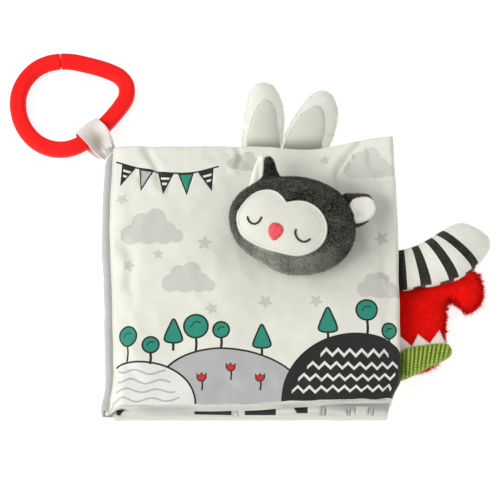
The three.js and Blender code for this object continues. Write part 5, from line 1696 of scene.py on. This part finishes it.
def red_comb(P, D):
    c = np.stack([P[:, 0] - 88, (P[:, 1] + 20) * 0.7, np.zeros(len(P))], axis=1)
    lobe = P[:, 0] > 103
    c[lobe] = np.stack([P[lobe, 0] - 108, P[lobe, 1] - 2, np.zeros(lobe.sum())], axis=1)
    c /= np.linalg.norm(c, axis=1)[:, None] + 1e-9
    c[:, 1] -= 0.35
    return c
def red_size(P):
    edge = edge_dist(P[:, :2], red_line)
    under = ((P[:, 1] > 4) & (P[:, 0] < 112)) | ((P[:, 1] < -35) & (P[:, 2] > 8))
    return np.where(under, 0.25, 1.0) * (0.8 + 0.45 * np.exp(-edge / 2.5))
red_keep = lambda C: ((C[:, 0] > 76.6) & (C[:, 2] > 2.0)) * (0.06 + np.exp(-(edge_dist(C[:, :2], red_line) / 1.6) ** 2))
gA = spikes(red, 2200, 2.0, 0.2, 61, comb=red_comb, comb_mix=0.86, jitter=0.16, mat=1, keep=red_keep, bend=0.12, size_fn=red_size)
gB = spikes(red, 2300, 2.6, 0.16, 62, comb=red_comb, comb_mix=0.8, jitter=0.2, mat=1, keep=red_keep, clump=260, bend=0.2, size_fn=red_size)
red_core = pillow("fleece_tail_core", offset(red_line, -2.2), lambda x, y, d: 5.7 + 3.0 * np.clip(d / 5.0, 0, 1) ** 0.6, lambda x, y, d: 5.7 - 3.0 * np.clip(d / 5.0, 0, 1) ** 0.6, 2.5, [m_wad])
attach(red_core, "fleece_tail"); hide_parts("fleece_tail_stuffing")
red = with_spikes(red, [gA, gB])
V = arrays(red)
V[:, 2] = np.maximum(V[:, 2], 0.05)
set_points(red, V)
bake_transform(red, "back_cover", "fleece_tail", start=(0.0752, -0.025, 0.006), end=(0.0815, -0.025, 0.006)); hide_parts("fleece_tail_plush")

# --------------------------------------------------------------------- jaw
JAW = [(75.4, -55.6), (77.6, -56.4), (84.4, -53.2), (92.3, -48.8), (100.6, -44.2), (103.6, -41.6), (104.2, -39.2), (103.2, -36.6), (100.6, -35.6), (93, -36.2), (85, -37.6), (77.6, -39.4), (75.4, -39.9)]
JAW = [(x, y + 2.3 - 0.035 * (x - 76)) for x, y in JAW]
jaw_line = catmull(JAW, 170, closed=True)
FAN = (73.0, -152.0)
def rib(x, y):
    th = np.arctan2(x - FAN[0], y - FAN[1])
    q = th / 0.0192 + 0.2
    return np.abs(np.cos(math.pi * q)) ** 1.0, q
def bead(x, y, q):
    """The small tufts along each rib."""
    rho = np.hypot(x - FAN[0], y - FAN[1])
    return np.sin(2 * math.pi * rho / 1.35 + 40 * np.sin(np.round(q) * 12.9898))
def jaw_top(x, y, d):
    r, q = rib(x, y)
    tuft = np.array([nz(a * 14.0, b, 0.75, 7.0) for a, b in zip(q, y)])
    e = np.clip(d / 1.2, 0, 1)
    flat = smoothstep((x - 76.4) / 6.0)
    return ZS + 0.4 + (1.0 + 4.4 * flat) * np.sqrt(1 - (1 - np.clip(d / 6.0, 0, 1)) ** 2) + (1.45 * r + 0.2 * tuft + 0.32 * r * bead(x, y, q)) * e
# This value carries the painted groove shade and crest highlight of the corduroy.
def jaw_attr(V, d):
    r, q = rib(V[:, 0], V[:, 1])
    return np.clip(r * (0.82 + 0.24 * bead(V[:, 0], V[:, 1], q) + 0.25 * np.array([nz(a * 14.0, b, 0.75, 7.0) for a, b in zip(q, V[:, 1])])), 0, 1)
jaw = pillow("jaw_corduroy_upper", jaw_line, jaw_top, lambda x, y, d: ZS + 0.4 + 0 * d, 0.32, [m_cord], attrs={"rib": jaw_attr})
gj = spikes(jaw, 5000, 0.4, 0.07, 71, jitter=0.45, mat=0, keep=lambda C: ((C[:, 2] > ZS + 0.6) & (rib(C[:, 0], C[:, 1])[0] > 0.5)).astype(float), attr=["rib"])
jaw = with_spikes(jaw, [gj])
jaw_low = pillow("jaw_corduroy_lower", offset(jaw_line, -0.35), lambda x, y, d: ZS + 0.3 + 0 * d, lambda x, y, d: ZS - 0.55 * np.clip(d / 0.8, 0, 1) + 0.1 * rib(x, y)[0], 0.7, [m_cord], attrs={"rib": jaw_attr})
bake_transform(jaw, "middle_leaf", "toothed_jaw", start=(0.0756, -0.045, 0.012), end=(0.0815, -0.045, 0.012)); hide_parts("jaw_upper_corduroy")
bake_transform(jaw_low, "middle_leaf", "toothed_jaw", start=(0.0756, -0.045, 0.012), end=(0.0815, -0.045, 0.012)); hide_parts("jaw_lower_corduroy")
TEETH = np.array([(75.4, -38.9), (75.4, -30.6), (77.8, -30.2), (83.2, -35.2), (86.6, -28.6), (92.7, -33.6), (98, -26.4), (101.4, -34.4), (93, -37.4), (85, -38.6), (77.6, -40.2)])
def dense(poly, step):
    out = []
    for p, q in zip(poly, np.roll(poly, -1, axis=0)):
        n = max(1, int(np.linalg.norm(q - p) / step))
        out += [tuple(p + (q - p) * i / n) for i in range(n)]
    return np.array(out)
teeth = pillow("jaw_teeth_felt", dense(TEETH, 0.7), lambda x, y, d: ZS + 1.3 + 0.75 * (1 - np.exp(-d / 0.45)) + 0.5 * smoothstep((y + 34) / 6) + 0.18 * np.array([nz(a, b, 0.25, 3.0) for a, b in zip(x, y)]),
               lambda x, y, d: ZS + 0.75 + 0.5 * smoothstep((y + 34) / 6), 0.8, [m_felt])
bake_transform(teeth, "middle_leaf", "toothed_jaw", start=(0.0756, -0.045, 0.012), end=(0.0815, -0.045, 0.012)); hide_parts("jaw_teeth")

# --------------------------------------------------------- the head's filling
def head_core():
    A = np.linspace(-math.pi, math.pi, 64, endpoint=False)
    rings = []
    for t in np.linspace(-0.46 * math.pi, 0.46 * math.pi, 19):
        r = math.cos(t) ** 0.75 * 0.9
        z = HEAD_Z + (HEAD_UP if t > 0 else HEAD_DOWN) * 0.86 * math.sin(t)
        rings.append(np.stack([HEAD_C[0] + head_radius(A) * r * np.cos(A), HEAD_C[1] + head_radius(A) * r * np.sin(A), np.full(len(A), z)], axis=1))
    return loft("head_core", rings, [m_wad])
core = head_core()
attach(core, "animal_head"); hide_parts("head_stuffing")

# ------------------------------------------------------------------- floor
def floor():
    m, nt, b = tree("studio_floor")
    vec = coords(nt)
    link(nt, ramp(nt, noise_tex(nt, vec, 3, 2), [(0.3, s2l((158, 158, 158))), (0.7, s2l((162, 162, 162)))]), b.inputs["Base Color"])
    b.inputs["Roughness"].default_value = 0.9
    b.inputs["Specular IOR Level"].default_value = 0.1
    b.inputs["Emission Color"].default_value = (1, 1, 1, 1)
    b.inputs["Emission Strength"].default_value = 0.82
    ob = build("studio_floor", [(-2500, -2500, -0.4), (2500, -2500, -0.4), (2500, 2500, -0.4), (-2500, 2500, -0.4)], [(0, 1, 2, 3)], [m], smooth=False)

floor()
